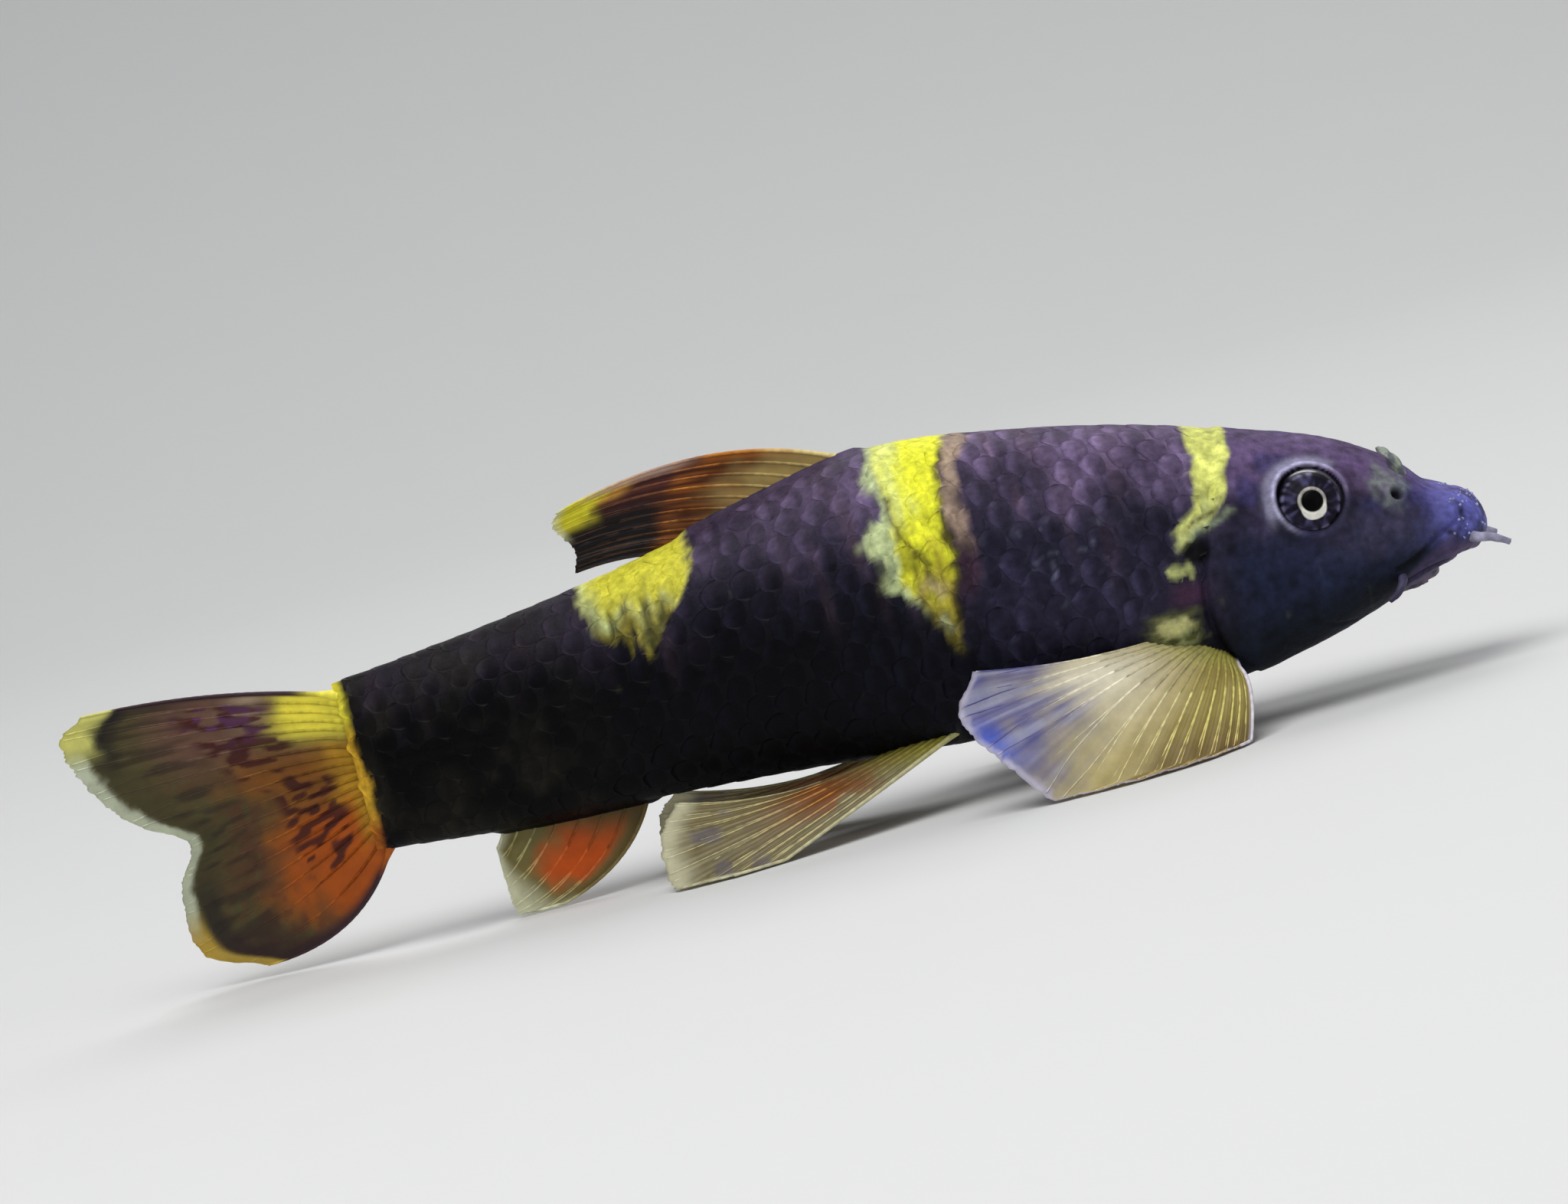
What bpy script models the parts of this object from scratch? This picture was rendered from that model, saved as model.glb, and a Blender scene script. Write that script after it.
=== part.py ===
# A panda garra resting on its paired fins and anal fin, life size, as a still display model.
# It is modelled in millimetres, with +Z up and the head towards +X, and settled in metres at the end.
# Heights and places follow the fish from its snout: a station is the distance behind the snout tip.
import math

import bmesh
import bpy
from mathutils import Matrix, Vector

MM = 0.001
GAP = 0.3  # between touching pieces
SIDES = {"left": 1, "right": -1}

# The whole fish
SNOUT_X = 60.0  # the snout tip, ahead of the rear edge of the anal fin
SNOUT_Z = 7.9
STANDARD_LENGTH = 66.8  # snout tip to the root of the tail fin
TAIL_SWING = 2.0  # how far the tail root is swung to the fish's left
SWING_START = 30.0

# Station, back height, belly height, half width, share of the depth where it is widest
BODY_STATIONS = (
    (1.6, 10.00, 6.45, 3.55, 0.40),
    (3.2, 11.35, 5.95, 4.10, 0.38),
    (5.0, 13.00, 5.35, 4.70, 0.38),
    (8.0, 14.85, 4.30, 5.30, 0.40),
    (12.0, 16.35, 3.25, 5.90, 0.41),
    (17.0, 18.10, 2.55, 6.40, 0.43),
    (24.0, 19.85, 2.60, 6.60, 0.45),
    (33.0, 21.20, 3.20, 6.15, 0.48),
    (41.0, 20.00, 4.00, 5.20, 0.50),
    (49.0, 18.30, 4.60, 4.05, 0.50),
    (58.0, 17.00, 5.00, 2.85, 0.50),
    (STANDARD_LENGTH, 16.10, 5.85, 1.75, 0.50),
)
SNOUT_ROUND = 1.6  # length of the rounded snout end, in profile
SNOUT_ROUND_ABOVE = 3.2  # the same seen from above, where the snout is blunt
TAIL_ROUND = 1.6  # length over which the tail root thins to the fin
TAIL_END_HALF = 0.7
BACK_EXPONENT = 2.1  # superellipse exponents of the section, above and below the widest level
BELLY_EXPONENT = 2.5
BODY_SIDES = 32
HEAD_STEP = 1.0
TRUNK_STEP = 2.2

# Where the body is parted
GILL_SLIT = ((19.5, 13.0), (14.2, 14.7), (11.0, 16.2), (8.0, 16.9), (5.2, 16.6), (3.3, 15.2), (0.5, 13.6))
WAIST = 31.6
STEM_START = 57.6
GILL_COVER = ((12.6, 12.7), (13.6, 14.2), (14.0, 19.0), (1.5, 19.0), (3.6, 12.4), (5.4, 12.9), (9.0, 13.1))
GILL_COVER_DEPTH = 4.0  # from the middle of the head to the inner face of a gill cover
GILL_COVER_FAR = 12.0  # safely past its outer face
CUT_FOOT = -10.0  # the upright regions that part the body reach well past it
CUT_TOP = 40.0
CUT_HALF_WIDTH = 20.0
PAST_THE_END = 5.0
SLIT_STEPS = 12

# Eyes
EYE_STATION = 9.8
EYE_Z = 12.1
EYE_RADIUS = 2.1
EYE_SUNK = 1.1
EYE_TURN_UP = 0.12
ORBIT_RADIUS = 2.12
ORBIT_LIP = 0.36

# Snout, mouth and nostrils
MOUTH_FRONT = 1.3
MOUTH_DEPTH = 4.0
MOUTH_HALF = 3.5
MOUTH_LINE_SETBACK = 0.42
MOUTH_LINE_RADIUS = 0.27
UPPER_LIP_SETBACK = -0.35
LOWER_LIP_SETBACK = 1.15
LOWER_LIP_HALF = 3.0
LIP_RADIUS = 0.42
LIP_END_RADIUS = 0.2
LIP_SUNK = 0.28
DISC_STATION = 5.3
DISC_SUNK = 0.45
DISC_SIZE = (1.9, 1.9, 0.75)
SNOUT_GROOVE_STATION = 2.7
SNOUT_GROOVE_ACROSS = (-2.9, -2.0, -1.0, 0.0, 1.0, 2.0, 2.9)
SNOUT_GROOVE_RADIUS = 0.3
SNOUT_GROOVE_RAISED = 0.12  # the cutter's middle line lies this far above the skin
CHEEK_GROOVE = ((2.1, 8.3), (3.0, 7.9), (4.0, 7.4), (5.0, 6.9))  # station, height
CHEEK_GROOVE_RADII = (0.2, 0.27, 0.27, 0.2)
CHEEK_GROOVE_RAISED = 0.08
NOSTRIL_STATION = 4.9
NOSTRIL_Z = 10.9
NOSTRIL_RADIUS = 0.42
NOSTRIL_DEPTH = 0.5
NOSTRIL_RIM_RADIUS = 0.6
NOSTRIL_RIM_THICKNESS = 0.22
FLAP_STATION = 4.2
FLAP_OUT = 2.1
FLAP_SUNK = 0.2
FLAP_SIZE = (0.34, 0.75, 1.35)
FLAP_LEAN_BACK = 10.0  # degrees
FLAP_LEAN_OUT = 14.0

# Barbels: station and height of the root, then two steps out from it, forward, outward and up
BARBELS = {
    "rostral": ((1.25, 7.3), (0.9, 0.1, -0.25), (1.8, 0.35, -0.75)),
    "maxillary": ((5.9, 6.2), (-0.45, 0.3, -0.55), (-1.15, 0.4, -0.95)),
}
BARBEL_RADII = (0.32, 0.32, 0.29, 0.25)
BARBEL_RECESS = 0.6
BARBEL_RISE = 0.25  # from the skin to where the steps are counted from

# Fins
MEMBRANE = 0.5  # thickness
RAY_RIDGE = 0.22  # how far a ray stands from the membrane at its root, on each face
LEADING_RIDGE = 0.34
RIDGE_RISE = 0.15  # share of a ray's length over which it rises from the membrane
RIDGE_FADE = 0.65  # share of its height that a ray loses by its tip
MARGIN_NOTCH = 0.03  # share of the length that the membrane stops short between rays
PROBE = 0.004  # share of a fin over which its slope is taken
FLOOR_OUTLINE = ((-30, -5), (70, -5), (70, 0), (-30, 0))

# Each fin ray: place across the fin, then root, middle and tip, each as x, distance from the
# middle plane of the fish and height. Tips below the floor are laid flat on it.
PECTORAL_RAYS = (
    (0.00, 43.4, 4.6, 4.0, 44.8, 8.6, 3.6, 42.3, 11.5, -1.4),
    (0.22, 43.0, 4.8, 4.6, 43.6, 9.4, 3.9, 39.8, 13.4, -1.7),
    (0.42, 42.6, 4.9, 5.1, 41.2, 9.9, 4.2, 36.0, 14.2, -1.8),
    (0.60, 42.3, 5.0, 5.6, 38.8, 9.9, 4.9, 32.4, 13.8, -1.0),
    (0.76, 42.0, 5.0, 6.0, 36.8, 9.7, 5.8, 28.9, 12.9, 3.2),
    (0.90, 41.8, 5.0, 6.3, 35.3, 9.0, 6.4, 27.4, 11.7, 6.0),
    (1.00, 41.6, 5.0, 6.6, 35.3, 8.0, 6.4, 28.9, 10.4, 8.1),
)
PELVIC_RAYS = (
    (0.00, 28.2, 2.9, 4.6, 22.0, 5.6, 2.3, 12.8, 7.6, -0.9),
    (0.35, 27.1, 2.5, 4.7, 19.6, 5.1, 2.4, 9.6, 6.9, -0.5),
    (0.70, 26.0, 2.0, 4.7, 17.8, 3.9, 2.4, 9.2, 5.2, 2.8),
    (1.00, 24.9, 1.5, 4.6, 18.2, 2.5, 2.2, 10.6, 3.3, 4.6),
)
DORSAL_RAYS = (
    (0.00, 26.0, 0.0, 20.4, 18.6, 0.3, 24.8, 8.3, 0.9, 22.1),
    (0.30, 22.6, 0.0, 19.6, 15.6, 0.4, 22.9, 7.9, 1.1, 21.3),
    (0.65, 18.8, 0.0, 18.6, 14.0, 0.4, 20.4, 8.8, 1.0, 19.8),
    (1.00, 15.6, 0.0, 17.7, 12.4, 0.5, 19.0, 8.5, 0.9, 18.5),
)
ANAL_RAYS = (
    (0.00, 9.6, 0.5, 6.1, 7.9, 0.7, 0.9, 1.2, 1.2, -0.15),
    (0.30, 7.0, 0.7, 6.1, 5.0, 0.9, 1.6, 0.1, 1.3, 0.3),
    (0.65, 3.8, 0.9, 6.2, 2.2, 1.0, 3.4, -0.1, 1.3, 2.2),
    (1.00, 0.8, 1.1, 6.3, 0.6, 1.2, 4.9, -0.1, 1.3, 4.3),
)
CAUDAL_RAYS = (
    (0.00, -5.6, 1.9, 14.9, -13.0, 2.6, 17.6, -21.3, 2.2, 17.9),
    (0.10, -5.6, 1.9, 14.0, -13.6, 2.7, 16.6, -22.9, 2.1, 16.8),
    (0.28, -5.6, 1.9, 12.5, -13.4, 2.8, 14.3, -22.0, 2.4, 13.6),
    (0.42, -5.6, 1.9, 11.4, -12.5, 3.0, 12.0, -20.0, 3.1, 10.9),
    (0.52, -5.6, 1.9, 10.7, -11.6, 3.2, 10.4, -17.4, 3.8, 9.1),
    (0.70, -5.6, 1.9, 9.4, -12.0, 3.6, 7.4, -18.7, 5.4, 6.2),
    (0.88, -5.6, 1.9, 8.0, -11.4, 3.7, 3.8, -18.5, 6.5, 2.2),
    (1.00, -5.6, 1.9, 6.8, -8.3, 3.0, 1.0, -15.0, 5.8, 0.75),
)

PURPLE = (0.06, 0.045, 0.08)
DARK = (0.02, 0.018, 0.03)
YELLOW = (0.75, 0.65, 0.05)
ORANGE = (0.55, 0.16, 0.05)
CREAM = (0.62, 0.55, 0.30)
IRIS = (0.35, 0.33, 0.26)

# Node, rays, number of rays, rows of points along a ray
MIDDLE_FINS = (
    ("dorsal_fin", DORSAL_RAYS, 11, 8),
    ("anal_fin", ANAL_RAYS, 8, 6),
    ("caudal_fin", CAUDAL_RAYS, 19, 8),
)
PAIRED_FINS = (
    ("pectoral_fin", PECTORAL_RAYS, 14, 8),
    ("pelvic_fin", PELVIC_RAYS, 9, 7),
)


def hermite(keys, x, column):
    """A smooth curve through one column of a table whose first column rises."""
    xs = [key[0] for key in keys]
    if x <= xs[0]:
        return keys[0][column]
    if x >= xs[-1]:
        return keys[-1][column]
    i = max(k for k in range(len(xs) - 1) if xs[k] <= x)

    def slope(k):
        low, high = max(k - 1, 0), min(k + 1, len(xs) - 1)
        return (keys[high][column] - keys[low][column]) / (xs[high] - xs[low])

    width = xs[i + 1] - xs[i]
    t = (x - xs[i]) / width
    start, end = keys[i][column], keys[i + 1][column]
    return (
        start * (1 + 2 * t) * (1 - t) ** 2
        + slope(i) * width * t * (1 - t) ** 2
        + end * t * t * (3 - 2 * t)
        - slope(i + 1) * width * t * t * (1 - t)
    )


def rounded(distance, length):
    """0 at the tip of a round end, 1 where the end has its full size."""
    return math.sqrt(1 - (1 - min(distance / length, 1)) ** 2)


def swing(station):
    share = max(station - SWING_START, 0) / (STANDARD_LENGTH - SWING_START)
    return TAIL_SWING * share * share


def body_size(station):
    """Back height, belly height, half width and height of the widest level."""
    back, belly, half, share = (hermite(BODY_STATIONS, station, column) for column in (1, 2, 3, 4))
    tip = rounded(station, SNOUT_ROUND)
    back = SNOUT_Z + (back - SNOUT_Z) * tip
    belly = SNOUT_Z + (belly - SNOUT_Z) * tip
    if station < SNOUT_ROUND_ABOVE:
        half = hermite(BODY_STATIONS, SNOUT_ROUND_ABOVE, 3) * rounded(station, SNOUT_ROUND_ABOVE)
    thinning = max(station - STANDARD_LENGTH + TAIL_ROUND, 0) / TAIL_ROUND
    half -= (half - TAIL_END_HALF) * thinning**2
    return back, belly, half, belly + share * (back - belly)


def on_body(station, angle, grow=0.0):
    """A point of the skin. The angle is 0 on the left side and 90 degrees on the back."""
    back, belly, half, widest = body_size(station)
    rise, side = math.sin(angle), math.cos(angle)
    exponent = BACK_EXPONENT if rise >= 0 else BELLY_EXPONENT
    height = (back - widest if rise >= 0 else widest - belly) + grow
    y = (half + grow) * math.copysign(abs(side) ** (2 / exponent), side)
    z = widest + height * math.copysign(abs(rise) ** (2 / exponent), rise)
    return Vector((SNOUT_X - station, y + swing(station), z))


def side_point(station, z, side, out=0.0):
    """A point of the flank at this height, moved out along the skin's normal, and that normal."""
    back, belly, _, widest = body_size(station)
    exponent = BACK_EXPONENT if z >= widest else BELLY_EXPONENT
    height = back - widest if z >= widest else widest - belly
    share = min(abs(z - widest) / height, 1.0)
    angle = math.copysign(math.asin(share ** (exponent / 2)), z - widest)
    if side < 0:
        angle = math.pi - angle
    step = 0.02
    along = on_body(station + step, angle) - on_body(station - step, angle)
    around = on_body(station, angle + step) - on_body(station, angle - step)
    normal = along.cross(around).normalized()
    return on_body(station, angle) + out * normal, normal


def belly_point(station, across, out=0.0):
    """A point of the underside, this far across from the middle, moved down."""
    _, belly, half, widest = body_size(station)
    share = min(abs(across) / half, 1.0)
    drop = (widest - belly) * (1 - share**BELLY_EXPONENT) ** (1 / BELLY_EXPONENT)
    return Vector((SNOUT_X - station, across + swing(station), widest - drop - out))


def back_point(station, across, out=0.0):
    """A point of the upper side, this far across from the middle, moved up."""
    back, _, half, widest = body_size(station)
    share = min(abs(across) / half, 1.0)
    rise = (back - widest) * (1 - share**BACK_EXPONENT) ** (1 / BACK_EXPONENT)
    return Vector((SNOUT_X - station, across + swing(station), widest + rise + out))


def start_scene():
    for thing in list(bpy.data.objects):
        bpy.data.objects.remove(thing)
    collections = []
    for name in ("panda_garra", "cutters"):
        made = bpy.data.collections.new(name)
        bpy.context.scene.collection.children.link(made)
        collections.append(made)
    return collections


def new_object(name, mesh, is_helper=False):
    thing = bpy.data.objects.new(name, mesh)
    (helpers if is_helper else parts).objects.link(thing)
    if is_helper:
        thing.hide_render = True
        thing.display_type = "WIRE"
    return thing


def mesh_of(name, points, faces):
    mesh = bpy.data.meshes.new(name)
    mesh.from_pydata(points, [], faces)
    shape = bmesh.new()
    shape.from_mesh(mesh)
    bmesh.ops.recalc_face_normals(shape, faces=shape.faces)
    shape.to_mesh(mesh)
    shape.free()
    return mesh


def stations():
    """Where the body's rings lie: close on the snout and head, wider along the trunk."""
    found = [0.06, 0.25, 0.55, 1.0]
    while found[-1] < STANDARD_LENGTH - TRUNK_STEP:
        step = HEAD_STEP if found[-1] < GILL_SLIT[3][1] else TRUNK_STEP
        found.append(found[-1] + step)
    return found + [STANDARD_LENGTH - TAIL_ROUND * share for share in (1.0, 0.4, 0.0)]


def body_loft(name, grow=0.0):
    """The whole body as one closed loft of oval sections."""
    places = stations()
    rings = [
        [on_body(station, math.tau * k / BODY_SIDES, grow) for k in range(BODY_SIDES)] for station in places
    ]
    for point in rings[0]:
        point.x += grow
    for point in rings[-1]:
        point.x -= grow
    points = [point for ring in rings for point in ring]
    faces = [tuple(range(BODY_SIDES)), tuple(len(points) - 1 - k for k in range(BODY_SIDES))]
    for i in range(len(rings) - 1):
        for k in range(BODY_SIDES):
            after = (k + 1) % BODY_SIDES
            low, high = i * BODY_SIDES, (i + 1) * BODY_SIDES
            faces.append((low + k, low + after, high + after, high + k))
    return new_object(name, mesh_of(name, points, faces), is_helper=True)


def prism(name, outline, y_from, y_to):
    """An upright outline of x and z points, pushed across the fish."""
    count = len(outline)
    points = [Vector((x, y, z)) for y in (y_from, y_to) for x, z in outline]
    faces = [tuple(range(count)), tuple(range(2 * count - 1, count - 1, -1))]
    faces += [(k, (k + 1) % count, count + (k + 1) % count, count + k) for k in range(count)]
    return new_object(name, mesh_of(name, points, faces), is_helper=True)


def offset_outline(outline, distance):
    """The outline with each corner moved out along the mean normal of its two sides."""
    area = sum(a[0] * b[1] - b[0] * a[1] for a, b in zip(outline, outline[1:] + outline[:1]))
    turn = 1 if area > 0 else -1
    moved = []
    for i, corner in enumerate(outline):
        here = Vector(corner)
        before = (here - Vector(outline[i - 1])).normalized()
        after = (Vector(outline[(i + 1) % len(outline)]) - here).normalized()
        across = (before + after).normalized()
        normal = Vector((across.y, -across.x)) * turn
        reach = distance / max(normal.dot(Vector((before.y, -before.x)) * turn), 0.5)
        moved.append(tuple(here + normal * reach))
    return moved


def tube(name, path, radii, sides=8):
    """A closed round tube along the path, with a radius at each of its points."""
    curve = bpy.data.curves.new(name, "CURVE")
    curve.dimensions = "3D"
    curve.bevel_depth = 1.0
    curve.bevel_resolution = sides // 2 - 2
    curve.use_fill_caps = True
    spline = curve.splines.new("POLY")
    spline.points.add(len(path) - 1)
    for knot, place, radius in zip(spline.points, path, radii):
        knot.co = (*place, 1.0)
        knot.radius = radius
    bent = new_object(name, curve, is_helper=True)
    bpy.context.view_layer.update()
    mesh = bpy.data.meshes.new_from_object(bent.evaluated_get(bpy.context.evaluated_depsgraph_get()))
    bpy.data.objects.remove(bent)
    shape = bmesh.new()
    shape.from_mesh(mesh)
    bmesh.ops.remove_doubles(shape, verts=shape.verts, dist=0.001)
    bmesh.ops.recalc_face_normals(shape, faces=shape.faces)
    shape.to_mesh(mesh)
    shape.free()
    return new_object(name, mesh, is_helper=True)


def ball(name, place, size, turn=None, across=16, down=10):
    """A sphere stretched to three half sizes, turned and put in place."""
    mesh = bpy.data.meshes.new(name)
    shape = bmesh.new()
    bmesh.ops.create_uvsphere(shape, u_segments=across, v_segments=down, radius=1.0)
    matrix = Matrix.Translation(place) @ (turn or Matrix()) @ Matrix.Diagonal((*size, 1.0))
    bmesh.ops.transform(shape, matrix=matrix, verts=shape.verts)
    shape.to_mesh(mesh)
    shape.free()
    return new_object(name, mesh, is_helper=True)


def ring_path(place, normal, radius, count=20):
    turn = Vector((0, 0, 1)).rotation_difference(normal).to_matrix()
    spots = [math.tau * k / count for k in range(count)]
    return [place + turn @ Vector((radius * math.cos(a), radius * math.sin(a), 0)) for a in spots]


def ring(name, place, normal, radius, thickness, count=20, sides=8):
    """A round ring lying on the skin."""
    middle = ring_path(place, normal, radius, count)
    points, faces = [], []
    for spot in middle:
        outward = (spot - place).normalized()
        for k in range(sides):
            a = math.tau * k / sides
            points.append(spot + thickness * (math.cos(a) * outward + math.sin(a) * normal))
    for i in range(count):
        for k in range(sides):
            here, after = i * sides, (i + 1) % count * sides
            turned = (k + 1) % sides
            faces.append((here + k, here + turned, after + turned, after + k))
    return new_object(name, mesh_of(name, points, faces), is_helper=True)


def combine(target, operation, others):
    """Joins the other objects to the target, cuts them from it or keeps what they share, and removes them."""
    group = bpy.data.collections.new("operands")
    helpers.children.link(group)
    for other in others:
        group.objects.link(other)
        helpers.objects.unlink(other)
    modifier = target.modifiers.new(operation.lower(), "BOOLEAN")
    modifier.operation = operation
    modifier.operand_type = "COLLECTION"
    modifier.collection = group
    modifier.solver = "EXACT"
    bpy.context.view_layer.update()
    result = bpy.data.meshes.new_from_object(target.evaluated_get(bpy.context.evaluated_depsgraph_get()))
    target.modifiers.clear()
    target.data = result
    for other in list(group.objects):
        bpy.data.objects.remove(other)
    bpy.data.collections.remove(group)
    return target


def keep_largest(thing):
    """Drops every closed surface but the one that encloses the most."""
    shape = bmesh.new()
    shape.from_mesh(thing.data)
    bmesh.ops.remove_doubles(shape, verts=shape.verts, dist=0.0005)
    bmesh.ops.triangulate(shape, faces=shape.faces)
    left, groups = set(shape.verts), []
    while left:
        stack, group = [left.pop()], set()
        while stack:
            vert = stack.pop()
            group.add(vert)
            near = {edge.other_vert(vert) for edge in vert.link_edges} & left
            left -= near
            stack.extend(near)
        groups.append(group)

    def volume(group):
        faces = {face for vert in group for face in vert.link_faces}
        return sum(f.verts[0].co.dot(f.verts[1].co.cross(f.verts[2].co)) for f in faces) / 6

    largest = max(groups, key=volume)
    bmesh.ops.delete(shape, geom=[vert for vert in shape.verts if vert not in largest], context="VERTS")
    shape.to_mesh(thing.data)
    shape.free()
    return thing


def finish_part(thing, name, colour, roughness=0.45):
    """Names the node, gives it its own material and smooth shading."""
    thing.name = name
    thing.data.name = name
    for collection in list(thing.users_collection):
        collection.objects.unlink(thing)
    parts.objects.link(thing)
    thing.hide_render = False
    thing.display_type = "TEXTURED"
    material = bpy.data.materials.new(name)
    material.use_nodes = True
    shader = material.node_tree.nodes["Principled BSDF"]
    shader.inputs["Base Color"].default_value = (*colour, 1.0)
    shader.inputs["Roughness"].default_value = roughness
    shader.inputs["Metallic"].default_value = 0.0
    material.diffuse_color = (*colour, 1.0)
    thing.data.materials.clear()
    thing.data.materials.append(material)
    thing.data.shade_smooth()
    thing.data.set_sharp_from_angle(angle=math.radians(40))
    return thing


def slit_outline(ahead):
    """The upright region in front of the gill slit, or behind it as far as the waist."""
    top, bottom = GILL_SLIT[0][0], GILL_SLIT[-1][0]
    rising = tuple(reversed(GILL_SLIT))
    shift = GAP / 2 if ahead else -GAP / 2
    edge = []
    for k in range(SLIT_STEPS + 1):
        z = bottom + (top - bottom) * k / SLIT_STEPS
        edge.append((SNOUT_X - hermite(rising, z, 1) + shift, z))
    far = SNOUT_X + PAST_THE_END if ahead else SNOUT_X - WAIST + GAP / 2
    foot = [(far, CUT_FOOT), (edge[0][0], CUT_FOOT)]
    return foot + edge + [(edge[-1][0], CUT_TOP), (far, CUT_TOP)]


def slab_outline(front, rear):
    x_front, x_rear = SNOUT_X - front, SNOUT_X - rear
    return [(x_front, CUT_FOOT), (x_rear, CUT_FOOT), (x_rear, CUT_TOP), (x_front, CUT_TOP)]


def cut_from_body(name, outline):
    return combine(body_loft(name), "INTERSECT", [prism("slab", outline, -CUT_HALF_WIDTH, CUT_HALF_WIDTH)])


def eye_seat(side):
    """The eye's centre and the way it looks."""
    place, normal = side_point(EYE_STATION, EYE_Z, side)
    look = (normal + Vector((0, 0, EYE_TURN_UP))).normalized()
    return place - EYE_SUNK * look, look


def mouth_arc(setback, out, half=MOUTH_HALF, count=14):
    """Points along the crescent of the mouth under the snout, moved back and out."""
    path = []
    for k in range(count + 1):
        t = 2 * k / count - 1
        station = MOUTH_FRONT + setback + MOUTH_DEPTH * (1 - math.sqrt(max(1 - t * t, 0)))
        path.append(belly_point(station, half * t, out))
    return path


def lip(name, setback, half):
    """A lip along the crescent, thick in the middle and thin at both ends."""
    path = mouth_arc(setback, -LIP_SUNK, half)
    last = len(path) - 1
    swell = LIP_RADIUS - LIP_END_RADIUS
    radii = [LIP_END_RADIUS + swell * math.sin(math.pi * k / last) ** 0.5 for k in range(last + 1)]
    return tube(name, path, radii)


def barbel_path(kind, side):
    """The root, sunk in the skin, and the free length of a barbel."""
    place, *steps = BARBELS[kind]
    root, normal = side_point(*place, side)
    free = [root + BARBEL_RISE * normal + Vector((ahead, out * side, up)) for ahead, out, up in steps]
    return [root - BARBEL_RECESS * normal, root + 0.1 * normal, *free]


def nostril_flap(side):
    root = back_point(FLAP_STATION, FLAP_OUT * side, -FLAP_SUNK)
    back = Matrix.Rotation(math.radians(-FLAP_LEAN_BACK), 4, "Y")
    outward = Matrix.Rotation(math.radians(-FLAP_LEAN_OUT * side), 4, "X")
    return ball("flap", root + Vector((0, 0, FLAP_SIZE[2] / 3)), FLAP_SIZE, back @ outward, 10, 8)


def barbel_pit(kind, side):
    root, skin = barbel_path(kind, side)[:2]
    along = (skin - root).normalized()
    return tube("barbel_pit", [root - GAP * along, skin + 3 * GAP * along], [BARBEL_RADII[0] + GAP] * 2)


def head_details(head):
    """Joins lips, mouth disc, nostril flaps and rims to the head, then cuts grooves, pits and sockets."""
    raised = [
        lip("upper_lip", UPPER_LIP_SETBACK, MOUTH_HALF),
        lip("lower_lip", LOWER_LIP_SETBACK, LOWER_LIP_HALF),
        ball("mouth_disc", belly_point(DISC_STATION, 0, -DISC_SUNK), DISC_SIZE),
    ]
    mouth_line = mouth_arc(MOUTH_LINE_SETBACK, 0.1)
    snout_line = [back_point(SNOUT_GROOVE_STATION, y, SNOUT_GROOVE_RAISED) for y in SNOUT_GROOVE_ACROSS]
    cuts = [
        tube("mouth_line", mouth_line, [MOUTH_LINE_RADIUS] * len(mouth_line)),
        tube("snout_groove", snout_line, [SNOUT_GROOVE_RADIUS] * len(snout_line)),
    ]
    for side in SIDES.values():
        centre, look = eye_seat(side)
        raised.append(ring("orbit", centre + (EYE_SUNK - 0.05) * look, look, ORBIT_RADIUS, ORBIT_LIP))
        cuts.append(ball("socket", centre, [EYE_RADIUS + GAP] * 3, across=24, down=16))
        raised.append(nostril_flap(side))
        hole, normal = side_point(NOSTRIL_STATION, NOSTRIL_Z, side)
        raised.append(ring("nostril_rim", hole, normal, NOSTRIL_RIM_RADIUS, NOSTRIL_RIM_THICKNESS, 12, 6))
        cuts.append(ball("nostril", hole, (NOSTRIL_RADIUS, NOSTRIL_RADIUS, NOSTRIL_DEPTH), across=12, down=8))
        cheek_line = [side_point(station, z, side, CHEEK_GROOVE_RAISED)[0] for station, z in CHEEK_GROOVE]
        cuts.append(tube("cheek_groove", cheek_line, CHEEK_GROOVE_RADII))
        cuts += [barbel_pit(kind, side) for kind in BARBELS]
    combine(head, "UNION", raised)
    return combine(head, "DIFFERENCE", cuts)


def fin_point(rays, across, along):
    """A point of the middle sheet of a fin: each ray bends from root to tip."""
    points = [Vector([hermite(rays, across, c) for c in range(first, first + 3)]) for first in (1, 4, 7)]
    root, middle, tip = points
    back = 1 - along
    return back * back * root + 2 * back * along * middle + along * along * tip


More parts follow.
